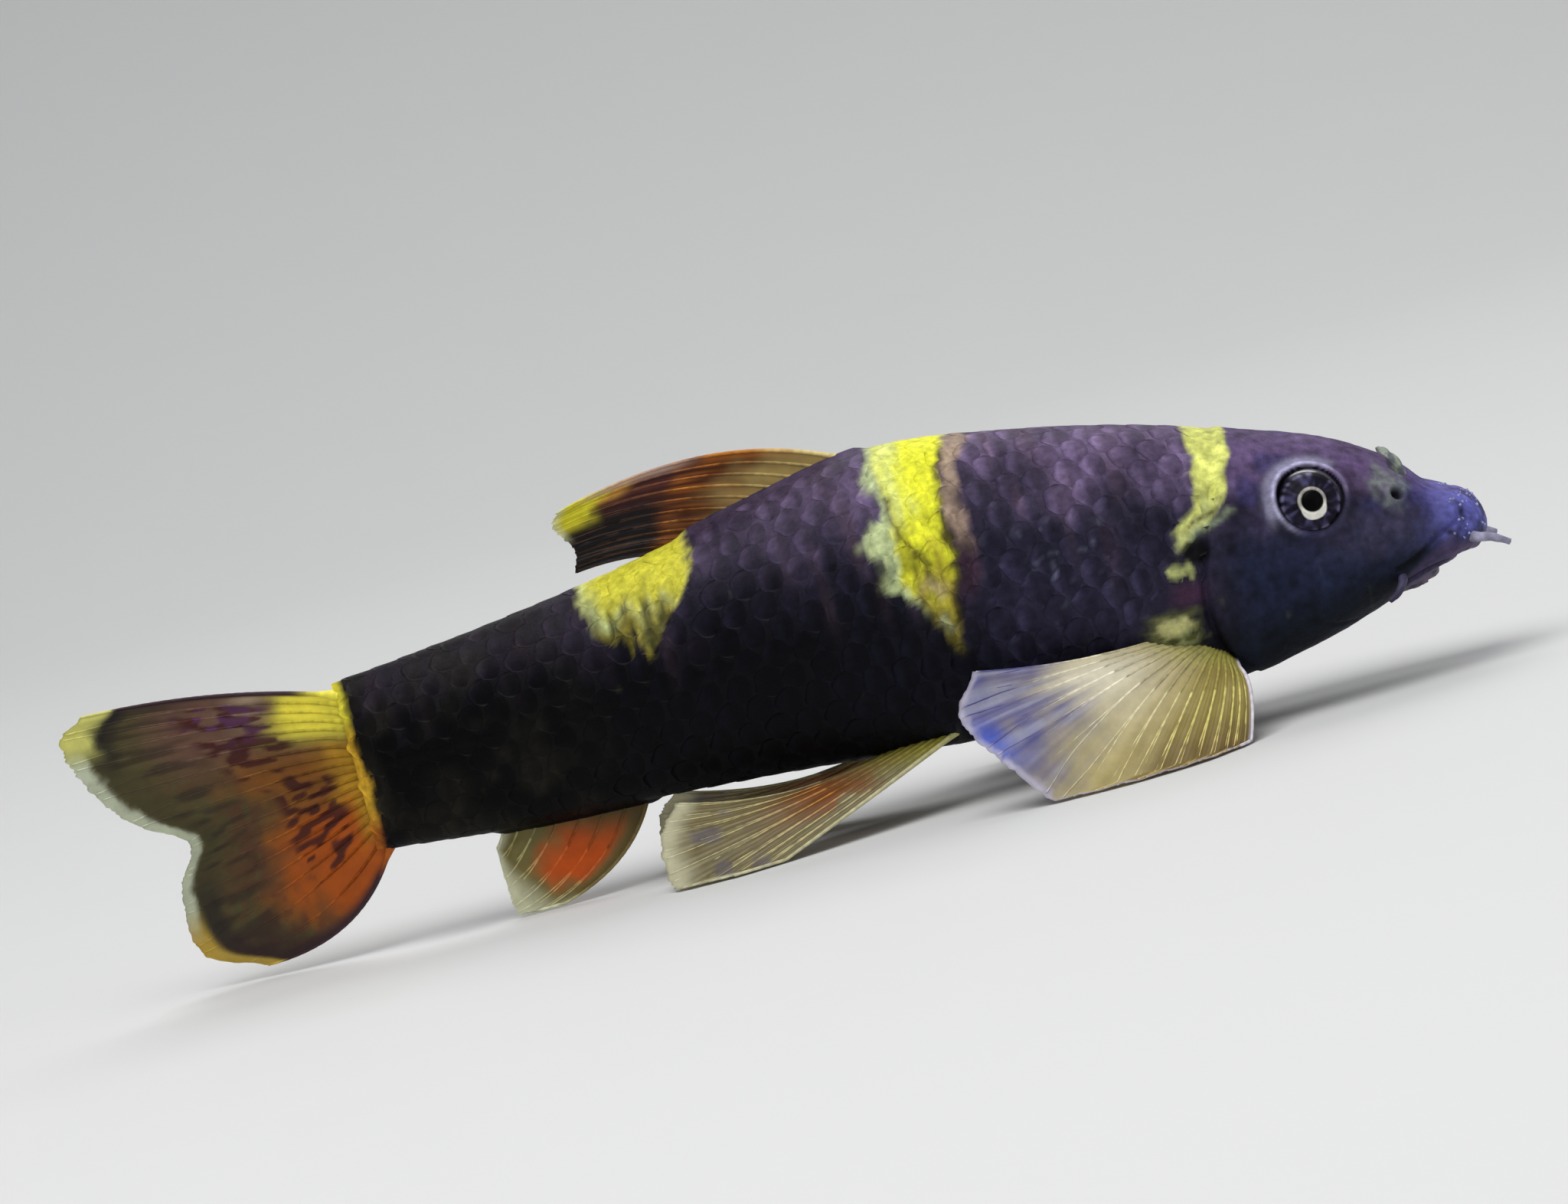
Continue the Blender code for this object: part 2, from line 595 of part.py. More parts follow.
def fin(name, rays, ray_count, rows, side, lies_on_floor):
    """A fin with its rays as ridges on both faces, split into like triangles on both."""
    columns = 2 * ray_count - 1
    faces_of = {1: [], -1: []}
    for i in range(columns):
        across = i / (columns - 1)
        is_ray = i % 2 == 0
        low, high = max(across - PROBE, 0), min(across + PROBE, 1)
        for j in range(rows + 1):
            along = j / rows * (1 if is_ray else 1 - MARGIN_NOTCH)
            place = fin_point(rays, across, along)
            over = fin_point(rays, high, along) - fin_point(rays, low, along)
            near, far = max(along - PROBE, 0), min(along + PROBE, 1)
            out = fin_point(rays, across, far) - fin_point(rays, across, near)
            normal = over.cross(out).normalized()
            ridge = LEADING_RIDGE if i == 0 else RAY_RIDGE
            ridge *= (1 - RIDGE_FADE * along) * min(along / RIDGE_RISE, 1) if is_ray else 0
            half = MEMBRANE / 2 + ridge
            for face, points in faces_of.items():
                points.append(place + face * half * normal)
    if lies_on_floor:
        lift_to_floor(faces_of[1], faces_of[-1])
    front, count = faces_of[1], (rows + 1) * columns
    points = [Vector((p.x, p.y * side, p.z)) for p in front + faces_of[-1]]
    faces = []
    for i in range(columns - 1):
        for j in range(rows):
            a, b = i * (rows + 1) + j, (i + 1) * (rows + 1) + j
            for start in (0, count):
                faces += [(start + a, start + b, start + b + 1), (start + a, start + b + 1, start + a + 1)]
    rim = [j for j in range(rows + 1)] + [i * (rows + 1) + rows for i in range(1, columns)]
    rim += [(columns - 1) * (rows + 1) + j for j in range(rows - 1, -1, -1)]
    rim += [i * (rows + 1) for i in range(columns - 2, 0, -1)]
    for k, a in enumerate(rim):
        b = rim[(k + 1) % len(rim)]
        faces += [(a, b, count + b), (a, count + b, count + a)]
    return new_object(name, mesh_of(name, points, faces), is_helper=True)


def lift_to_floor(upper, lower):
    """Lays what would reach below the floor flat on it, with its full thickness above."""
    for a, b in zip(upper, lower):
        under, over = (a, b) if a.z < b.z else (b, a)
        under.z = max(under.z, 0.0)
        over.z = max(over.z, MEMBRANE)


def settle(scale):
    """Puts the origin on the floor under the middle of the fish and turns millimetres into metres."""
    corners = [vert.co for thing in parts.objects for vert in thing.data.vertices]
    middle = Vector([(min(c[k] for c in corners) + max(c[k] for c in corners)) / 2 for k in range(3)])
    middle.z = 0.0
    for thing in parts.objects:
        thing.data.transform(Matrix.Scale(scale, 4) @ Matrix.Translation(-middle))


def make_head():
    """The head with its two gill covers parted from it."""
    head = head_details(cut_from_body("head", slit_outline(ahead=True)))
    cover = [(SNOUT_X - station, z) for z, station in GILL_COVER]
    wide = offset_outline(cover, GAP)
    for word, side in SIDES.items():
        far = GILL_COVER_FAR * side
        flap = cut_from_body("flap", slit_outline(ahead=True))
        combine(flap, "INTERSECT", [prism("cover", cover, GILL_COVER_DEPTH * side, far)])
        finish_part(keep_largest(flap), f"gill_cover_{word}", PURPLE)
        combine(head, "DIFFERENCE", [prism("cover", wide, (GILL_COVER_DEPTH - GAP) * side, far)])
    finish_part(keep_largest(head), "head", PURPLE)


def make_trunk():
    lengths = {
        "trunk_front": slit_outline(ahead=False),
        "trunk_rear": slab_outline(WAIST + GAP / 2, STEM_START - GAP / 2),
        "tail_stem": slab_outline(STEM_START + GAP / 2, STANDARD_LENGTH + PAST_THE_END),
    }
    for name, outline in lengths.items():
        finish_part(keep_largest(cut_from_body(name, outline)), name, DARK)


def make_fin(name, shape, side, lies_on_floor, colour):
    made = fin(name, *shape, side, lies_on_floor)
    below = prism("floor", FLOOR_OUTLINE, -CUT_HALF_WIDTH, CUT_HALF_WIDTH)
    combine(made, "DIFFERENCE", [body_loft("clearance", GAP), below])
    finish_part(keep_largest(made), name, colour)


def make_fins():
    for name, *shape in MIDDLE_FINS:
        make_fin(name, shape, 1, False, ORANGE)
    for word, side in SIDES.items():
        for name, *shape in PAIRED_FINS:
            make_fin(f"{name}_{word}", shape, side, True, CREAM)


def make_eyes_and_barbels():
    for word, side in SIDES.items():
        centre, look = eye_seat(side)
        turn = Vector((0, 0, 1)).rotation_difference(look).to_matrix().to_4x4()
        finish_part(ball("eye", centre, [EYE_RADIUS] * 3, turn, 24, 16), f"eye_{word}", IRIS, 0.1)
        for kind in BARBELS:
            barbel = tube("barbel", barbel_path(kind, side), BARBEL_RADII)
            finish_part(barbel, f"{kind}_barbel_{word}", YELLOW)


parts, helpers = start_scene()
make_head()
make_trunk()
make_fins()
make_eyes_and_barbels()
settle(MM)
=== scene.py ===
import bpy
import numpy as np
from mathutils import Matrix, Vector


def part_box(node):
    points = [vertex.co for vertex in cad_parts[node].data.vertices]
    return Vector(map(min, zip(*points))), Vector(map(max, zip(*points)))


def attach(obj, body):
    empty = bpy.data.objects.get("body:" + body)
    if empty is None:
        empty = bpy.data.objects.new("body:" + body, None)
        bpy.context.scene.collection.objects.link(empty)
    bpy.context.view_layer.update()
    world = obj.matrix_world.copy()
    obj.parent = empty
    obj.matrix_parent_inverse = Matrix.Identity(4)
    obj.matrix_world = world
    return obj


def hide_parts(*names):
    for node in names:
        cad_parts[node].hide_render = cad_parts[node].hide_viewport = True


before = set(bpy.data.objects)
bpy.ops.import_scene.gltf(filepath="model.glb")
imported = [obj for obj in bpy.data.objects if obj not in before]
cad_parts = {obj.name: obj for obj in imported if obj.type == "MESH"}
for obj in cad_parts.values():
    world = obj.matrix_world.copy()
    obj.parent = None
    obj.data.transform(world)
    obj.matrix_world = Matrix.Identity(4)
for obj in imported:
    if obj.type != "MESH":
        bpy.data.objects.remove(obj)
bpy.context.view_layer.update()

print("frame loaded with", len(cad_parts), "nodes")

# Shapes are worked out in millimetres in the fish's own measure: x = snoutX - station,
# y to the fish's left, z from the floor
mm = 0.001
body = {
    "snoutX": 60.0,
    "snoutZ": 7.9,
    "length": 66.8,  # snout tip to tail root
    "tailSwing": 2.0,
    "swingStart": 30.0,
    "snoutRound": 1.6,
    "snoutRoundAbove": 3.2,
    "tailRound": 1.6,
    "tailEndHalf": 0.7,
    "backPower": 2.1,
    "bellyPower": 2.5,
    # station, back, belly, half width, share of the depth where it is widest
    "keys": np.array([
        (1.6, 10.00, 6.45, 3.55, 0.40),
        (3.2, 11.35, 5.95, 4.10, 0.38),
        (5.0, 13.00, 5.35, 4.70, 0.38),
        (8.0, 14.85, 4.30, 5.30, 0.40),
        (12.0, 16.35, 3.25, 5.90, 0.41),
        (17.0, 18.10, 2.55, 6.40, 0.43),
        (24.0, 19.85, 2.60, 6.60, 0.45),
        (33.0, 21.20, 3.20, 6.15, 0.48),
        (41.0, 20.00, 4.00, 5.20, 0.50),
        (49.0, 18.30, 4.60, 4.05, 0.50),
        (58.0, 17.00, 5.00, 2.85, 0.50),
        (66.8, 16.10, 5.85, 1.75, 0.50),
    ]),
    # height, station of the gill cover's rear edge
    "gillEdge": (
        (0.5, 13.6), (3.3, 15.2), (5.2, 16.6), (8.0, 16.9), (11.0, 16.2), (14.2, 14.7), (19.5, 13.0),
    ),
}
eye = {
    "station": 9.8,
    "height": 12.1,
    "radius": 2.1,
    "sunk": 1.1,
    "turnUp": 0.12,
    "gaze": (0.10, -0.975, 0.20),  # of the right eye
    "pupil": 0.64,  # millimetres from the middle of the eye
    "ringInner": 0.74,
    "ringOuter": 0.92,
    # reach of the painted highlight below the pupil, in millimetres from the middle of the eye
    "crescent": 1.20,
    "rings": 90,
    "around": 128,
    "corneaTilt": 1.42,  # how far round from the gaze line the clear shell reaches
}


def curveAt(keys, x, column=1):  # a smooth curve through one column of the keys
    xs, ys = keys[:, 0], keys[:, column]
    x = np.clip(np.asarray(x, float), xs[0], xs[-1])
    slopes = np.empty_like(ys)
    slopes[1:-1] = (ys[2:] - ys[:-2]) / (xs[2:] - xs[:-2])
    slopes[0] = (ys[1] - ys[0]) / (xs[1] - xs[0])
    slopes[-1] = (ys[-1] - ys[-2]) / (xs[-1] - xs[-2])
    i = np.clip(np.searchsorted(xs, x, side="right") - 1, 0, len(xs) - 2)
    width = xs[i + 1] - xs[i]
    t = (x - xs[i]) / width
    start = ys[i] * (1 + 2 * t) * (1 - t) ** 2 + slopes[i] * width * t * (1 - t) ** 2
    return start + ys[i + 1] * t * t * (3 - 2 * t) - slopes[i + 1] * width * t * t * (1 - t)


def between(keys, z):  # a station given for some heights
    return curveAt(np.array(keys, float), z)


def smooth(low, high, x):  # 0 at low, 1 at high
    t = np.clip((x - low) / (high - low), 0, 1)
    return t * t * (3 - 2 * t)


def span(x, rise, full, fade, end):  # 1 between full and fade, 0 outside rise and end
    return smooth(rise, full, x) * smooth(end, fade, x)


def hump(distance, width=1):
    return np.exp(-((distance / width) ** 2))


def rounded(distance, length):
    return np.sqrt(1 - (1 - np.clip(distance / length, 0, 1)) ** 2)


def grid(a, b):
    return np.meshgrid(a, b, indexing="ij")


def fullTurn(count):
    return np.linspace(0, 2 * np.pi, count, endpoint=False)


def norm(vectors):
    return np.linalg.norm(vectors, axis=-1)


def unit(vectors):
    return vectors / np.maximum(norm(vectors), 1e-9)[..., None]


def bodySize(station):
    station = np.asarray(station, float)
    back, belly, half, share = (curveAt(body["keys"], station, c) for c in (1, 2, 3, 4))
    tip = rounded(station, body["snoutRound"])
    back, belly = (body["snoutZ"] + (edge - body["snoutZ"]) * tip for edge in (back, belly))
    above = body["snoutRoundAbove"]
    half = np.where(station < above, curveAt(body["keys"], above, 3) * rounded(station, above), half)
    thinning = np.maximum(station - body["length"] + body["tailRound"], 0) / body["tailRound"]
    half = half - (half - body["tailEndHalf"]) * thinning**2
    return back, belly, half, belly + share * (back - belly)


def swing(station):
    share = np.maximum(station - body["swingStart"], 0) / (body["length"] - body["swingStart"])
    return body["tailSwing"] * share * share


# exponent and height of the section above or below its widest level
def halfSection(upper, back, belly, widest):
    power = np.where(upper, body["backPower"], body["bellyPower"])
    return power, np.where(upper, back - widest, widest - belly)


def bodyPoint(station, angle):  # angle 0 on the left flank, a quarter turn on the back
    station, angle = np.broadcast_arrays(np.asarray(station, float), np.asarray(angle, float))
    back, belly, half, widest = bodySize(station)
    rise, side = np.sin(angle), np.cos(angle)
    power, height = halfSection(rise >= 0, back, belly, widest)
    y = half * np.sign(side) * np.abs(side) ** (2 / power)
    z = widest + height * np.sign(rise) * np.abs(rise) ** (2 / power)
    return np.stack([body["snoutX"] - station, y + swing(station), z], axis=-1)


def bodyNormal(station, angle):
    step, turn = 0.05, 0.03
    along = bodyPoint(station + step, angle) - bodyPoint(np.maximum(station - step, 0.01), angle)
    return unit(np.cross(along, bodyPoint(station, angle + turn) - bodyPoint(station, angle - turn)))


def flankAngle(station, z, side):
    back, belly, _, widest = bodySize(station)
    power, height = halfSection(z >= widest, back, belly, widest)
    share = np.clip(np.abs(z - widest) / height, 0, 1)
    angle = np.sign(z - widest) * np.arcsin(share ** (power / 2))
    return angle if side > 0 else np.pi - angle


def flankPoint(station, z, side):
    angle = flankAngle(np.asarray(station, float), np.asarray(z, float), side)
    return bodyPoint(station, angle), bodyNormal(station, angle)


# on the underside, or with up on the back, by its distance from the middle
def middlePoint(station, across, up):
    back, belly, half, widest = bodySize(station)
    power, height = halfSection(up, back, belly, widest)
    drop = height * (1 - np.clip(np.abs(across) / half, 0, 1) ** power) ** (1 / power)
    z = widest + drop if up else widest - drop
    return np.stack([body["snoutX"] - station + 0 * across, across + swing(station), z], axis=-1)


def eyeSeat(side):
    place, normal = flankPoint(eye["station"], eye["height"], side)
    look = unit(normal + (0, 0, eye["turnUp"]))
    return place - eye["sunk"] * look, look


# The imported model's origin, read from where its right eye is
shift = np.array([sum(pair) / 2 / mm for pair in zip(*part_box("eye_right"))]) - eyeSeat(-1)[0]


def setInputs(tree, node, inputs):  # each input is a fixed value, or the output of another node
    for socket, value in inputs.items():
        if isinstance(value, bpy.types.NodeSocket):
            tree.links.new(value, node.inputs[socket])
        else:
            node.inputs[socket].default_value = value


def addNode(tree, kind, inputs, **settings):
    node = tree.nodes.new("ShaderNode" + kind)
    for name, value in settings.items():
        setattr(node, name, value)
    setInputs(tree, node, inputs)
    return node


def addNoise(tree, size, detail):  # size in millimetres
    where = addNode(tree, "TexCoord", {}).outputs["Object"]
    scaled = addNode(tree, "VectorMath", {0: where, "Scale": 1 / mm}, operation="SCALE").outputs[0]
    inputs = {"Vector": scaled, "Scale": 1 / size, "Detail": detail, "Roughness": 0.6}
    return addNode(tree, "TexNoise", inputs).outputs["Fac"]


def mapRange(tree, value, low, high, toLow, toHigh):
    inputs = {"Value": value, "From Min": low, "From Max": high, "To Min": toLow, "To Max": toHigh}
    return addNode(tree, "MapRange", inputs).outputs["Result"]


def newMaterial(name):
    material = bpy.data.materials.new(name)
    material.use_nodes = True
    return material, material.node_tree, material.node_tree.nodes["Principled BSDF"]


def wetFinish(name, look):
    material, tree, shader = newMaterial(name)
    tone = addNode(tree, "Attribute", {}, attribute_name="tone").outputs["Color"]
    fine = addNoise(tree, look["fine"], 3.0)
    amount = mapRange(tree, addNoise(tree, look["mottle"], 5.0), 0.3, 0.7, look["dark"], look["light"])
    grey = addNode(tree, "CombineColor", {"Red": amount, "Green": amount, "Blue": amount}).outputs["Color"]
    parts = {"Factor": 1.0, "A": tone, "B": grey}
    mixed = addNode(tree, "Mix", parts, data_type="RGBA", blend_type="MULTIPLY").outputs["Result"]
    dents = {"Strength": look["bump"], "Distance": look["bumpDepth"] * mm, "Height": fine}
    setInputs(tree, shader, {
        "Base Color": mixed,
        "Roughness": mapRange(tree, fine, 0.3, 0.7, *look["rough"]),
        "Normal": addNode(tree, "Bump", dents).outputs["Normal"],
        "Specular IOR Level": look["shine"],
    })
    if "clear" in look:  # a fin's membrane lets light through
        through = addNode(tree, "BsdfTranslucent", {"Color": mixed}).outputs[0]
        lit = addNode(tree, "MixShader", {"Fac": look["glow"], 1: shader.outputs[0], 2: through}).outputs[0]
        clear = addNode(tree, "BsdfTransparent", {}).outputs[0]
        whole = addNode(tree, "MixShader", {"Fac": look["clear"], 1: lit, 2: clear}).outputs[0]
        setInputs(tree, tree.nodes["Material Output"], {"Surface": whole})
    return material


def corneaFinish(name):
    material, tree, shader = newMaterial(name)
    tree.nodes.remove(shader)
    clear = addNode(tree, "BsdfTransparent", {}).outputs[0]
    gloss = addNode(tree, "BsdfGlossy", {"Roughness": 0.22}).outputs[0]
    edge = addNode(tree, "Fresnel", {"IOR": 1.10}).outputs[0]
    faint = mapRange(tree, edge, 0.0, 1.0, 0.0, 0.35)
    whole = addNode(tree, "MixShader", {"Fac": faint, 1: clear, 2: gloss}).outputs[0]
    setInputs(tree, tree.nodes["Material Output"], {"Surface": whole})
    return material


# sizes of the mottling and of the fine grain, darkest and lightest mottle, roughness, bump and shine
membraneLook = {
    "mottle": 0.9, "fine": 0.12, "dark": 0.90, "light": 1.1, "rough": (0.30, 0.5), "bump": 0.5,
    "bumpDepth": 0.03, "shine": 0.2, "glow": 0.30,
}
finishes = {
    "headSkin": {
        "mottle": 0.6, "fine": 0.10, "dark": 0.66, "light": 1.34, "rough": (0.40, 0.60), "bump": 0.7,
        "bumpDepth": 0.06, "shine": 0.10,
    },
    "scaleSkin": {
        "mottle": 0.5, "fine": 0.10, "dark": 0.70, "light": 1.28, "rough": (0.36, 0.58), "bump": 0.5,
        "bumpDepth": 0.03, "shine": 0.08,
    },
    "rayBone": {
        "mottle": 0.6, "fine": 0.10, "dark": 0.8, "light": 1.15, "rough": (0.38, 0.58), "bump": 0.4,
        "bumpDepth": 0.02, "shine": 0.2,
    },
    "softFlesh": {
        "mottle": 0.5, "fine": 0.09, "dark": 0.75, "light": 1.25, "rough": (0.40, 0.58), "bump": 0.6,
        "bumpDepth": 0.05, "shine": 0.2,
    },
    "eyeBall": {
        "mottle": 0.3, "fine": 0.08, "dark": 0.85, "light": 1.15, "rough": (0.30, 0.45), "bump": 0.15,
        "bumpDepth": 0.01, "shine": 0.05,
    },
    "orangeMembrane": {**membraneLook, "clear": 0.06},
    "paleMembrane": {**membraneLook, "clear": 0.14},
}
finished = {name: wetFinish(name, look) for name, look in finishes.items()}
finished["clearCornea"] = corneaFinish("clearCornea")
print("finishes made")


def makePiece(name, points, faces, finish, tones=None, replaced=()):
    mesh = bpy.data.meshes.new(name)
    faces = faces.tolist() if isinstance(faces, np.ndarray) else faces
    mesh.from_pydata(((points.reshape(-1, 3) + shift) * mm).tolist(), [], faces)
    if tones is not None:
        rgba = np.ones((len(mesh.vertices), 4))
        rgba[:, :3] = np.clip(tones.reshape(-1, 3), 0, 1)
        mesh.color_attributes.new("tone", "FLOAT_COLOR", "POINT").data.foreach_set("color", rgba.ravel())
    mesh.shade_smooth()
    mesh.materials.append(finished[finish])
    piece = bpy.data.objects.new(name, mesh)
    bpy.context.scene.collection.objects.link(piece)
    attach(piece, "root")
    if replaced:
        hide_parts(*replaced)
    return piece


def gridFaces(rows, columns, closed=False, start=0):
    i, j = grid(np.arange(rows - 1), np.arange(columns if closed else columns - 1))
    here, after = i * columns + j, i * columns + (j + 1) % columns
    return np.stack([here, after, after + columns, here + columns], axis=-1).reshape(-1, 4) + start


def cappedFaces(rows, around, start=0):  # rings of points, followed by one point for each end
    faces = gridFaces(rows, around, closed=True, start=start).tolist()
    first = start + rows * around
    for j in range(around):
        k = (j + 1) % around
        faces += [[first, start + k, start + j], [first + 1, first - around + j, first - around + k]]
    return faces


def sheetFaces(rows, columns):  # a closed thin sheet of two layers of points, upper layer first
    count = rows * columns
    face = gridFaces(rows, columns)
    rim = np.concatenate([
        np.arange(columns),
        np.arange(1, rows) * columns + columns - 1,
        (rows - 1) * columns + np.arange(columns - 2, -1, -1),
        np.arange(rows - 2, 0, -1) * columns,
    ])
    after = np.roll(rim, -1)
    skirt = np.stack([after, rim, rim + count, after + count], axis=-1)
    return np.concatenate([face[:, ::-1], face + count, skirt])


def ballPoints(tilt, turn):
    return np.stack([np.sin(tilt) * np.cos(turn), np.sin(tilt) * np.sin(turn), np.cos(tilt)], axis=-1)


def ballMesh(rings, around, reach=np.pi):  # with how far each point has turned from the axis
    tilt, turn = grid(np.linspace(0, reach, rings), fullTurn(around))
    return ballPoints(tilt, turn), gridFaces(rings, around, closed=True), tilt


def pathDistance(points, path):
    best = np.full(points.shape[:-1], 1e9)
    for a, b in zip(path[:-1], path[1:]):
        along = b - a
        t = np.clip(((points - a) @ along) / max(along @ along, 1e-12), 0, 1)
        best = np.minimum(best, norm(points - a - t[..., None] * along))
    return best


def noise(points, size, seed):  # soft random values of -1..1 that change over about that many millimetres
    table = np.random.default_rng(seed).uniform(-1, 1, 4096)
    q = points / size + seed * 7.31
    cell = np.floor(q).astype(int)
    f = q - cell
    f = f * f * (3 - 2 * f)
    total = 0
    for corner in np.ndindex(2, 2, 2):
        key = (cell + corner) @ (73, 151, 283)
        total = total + np.abs(1 - np.array(corner) - f).prod(axis=-1) * table[key % 4096]
    return total


def blend(base, colour, share):
    base = np.asarray(base, float)
    return base + (np.asarray(colour, float) - base) * np.clip(share, 0, 1)[..., None]


def coats(tone, *layers):  # paints laid one after another, each by name or values, with the share that shows
    for colour, share in layers:
        tone = blend(tone, paint.get(colour, colour), share)
    return tone


paint = {
    "plumBackAndHighlight": (0.116, 0.081, 0.155),
    "rose": (0.120, 0.072, 0.105),
    "blueDot": (0.120, 0.125, 0.185),
    "slateFlank": (0.019, 0.017, 0.036),
    "darkBellyAndShade": (0.0035, 0.0038, 0.0085),
    "violetCrown": (0.113, 0.072, 0.165),
    "blueCrown": (0.035, 0.034, 0.130),
    "blueCheek": (0.012, 0.016, 0.042),
    "throatShade": (0.004, 0.007, 0.014),
    "blueSnout": (0.190, 0.195, 0.680),
    "lilacSnout": (0.058, 0.050, 0.095),
    "lilacLip": (0.090, 0.055, 0.140),
    "violetLip": (0.075, 0.055, 0.130),
    "paleNostril": (0.250, 0.300, 0.250),
    "paleOrbitAndHighlight": (0.700, 0.680, 0.960),
    "padOlive": (0.080, 0.085, 0.030),
    "padGreen": (0.300, 0.340, 0.150),
    "padYellow": (0.470, 0.460, 0.190),
    "yellow": (0.880, 0.890, 0.040),
    "napeYellow": (0.640, 0.665, 0.165),
    "tailYellow": (0.640, 0.600, 0.050),
    "lime": (0.700, 0.760, 0.260),
    "oldGold": (0.360, 0.300, 0.030),
    "paleYellow": (0.560, 0.600, 0.220),
    "white": (0.600, 0.700, 0.330),
    "paleGreen": (0.300, 0.360, 0.220),
    "tan": (0.480, 0.355, 0.245),
    "maroon": (0.055, 0.024, 0.040),
    "brown": (0.060, 0.042, 0.012),
    "darkGap": (0.045, 0.042, 0.012),
    "black": (0.003, 0.003, 0.005),
    "olive": (0.010, 0.009, 0.006),
    "violetRed": (0.085, 0.030, 0.070),
    "rootOrange": (0.420, 0.120, 0.014),
    "rootAmber": (0.620, 0.360, 0.030),
    "rootYellow": (0.700, 0.620, 0.050),
}
# dark and pale lines in the bands: paint, share, width, and the stations and heights they run through
veins = (
    (
        "brown", 0.85, 0.17,
        ((33.3, 18.3), (33.1, 17.2), (33.0, 16.2), (32.4, 15.4), (32.0, 14.4), (31.6, 13.2)),
    ),
    ("oldGold", 0.70, 0.30, ((31.2, 15.6), (31.3, 14.6), (31.1, 13.6))),
    ("tan", 0.60, 0.40, ((31.8, 13.1), (31.3, 12.5))),
    ("paleGreen", 0.55, 0.25, ((31.5, 11.1), (31.4, 10.3))),
    ("brown", 0.75, 0.15, ((17.0, 12.4), (16.2, 12.7), (15.2, 12.9))),
    ("paleGreen", 0.70, 0.20, ((17.0, 11.75), (15.9, 12.15), (14.5, 12.65))),
)
# height, and station of each band's front and rear edge there
bands = {
    "nape": (
        (
            (9.0, 17.8), (10.8, 17.1), (11.7, 16.7), (12.6, 15.5),
            (13.2, 14.5), (14.0, 14.2), (15.6, 13.85), (18.5, 12.7),
        ),
        ((9.0, 18.3), (11.3, 18.0), (12.4, 17.7), (13.3, 16.6), (14.6, 16.0), (15.8, 15.7), (18.5, 15.5)),
    ),
    "saddle": (
        ((8.0, 31.3), (10.5, 30.9), (13.1, 30.5), (15.8, 30.4), (17.6, 30.5), (19.7, 29.7), (21.5, 28.7)),
        (
            (8.0, 31.5), (10.0, 31.7), (12.3, 32.6), (14.0, 33.5),
            (16.2, 33.4), (17.6, 33.0), (19.4, 33.3), (21.5, 33.0),
        ),
    ),
    "tail": (
        ((13.4, 48.4), (14.8, 47.2), (16.2, 45.7), (17.4, 45.1), (18.6, 45.0), (20.0, 45.0)),
        ((13.4, 49.8), (14.6, 50.9), (16.0, 51.4), (17.4, 51.6), (20.0, 51.4)),
    ),
}


def inBand(name, station, z, edge):  # with how far the place is behind the band's front and rear edge
    front, rear = (station - between(keys, z) for keys in bands[name])
    return smooth(-edge, edge, front) * smooth(edge, -edge, rear), front, rear


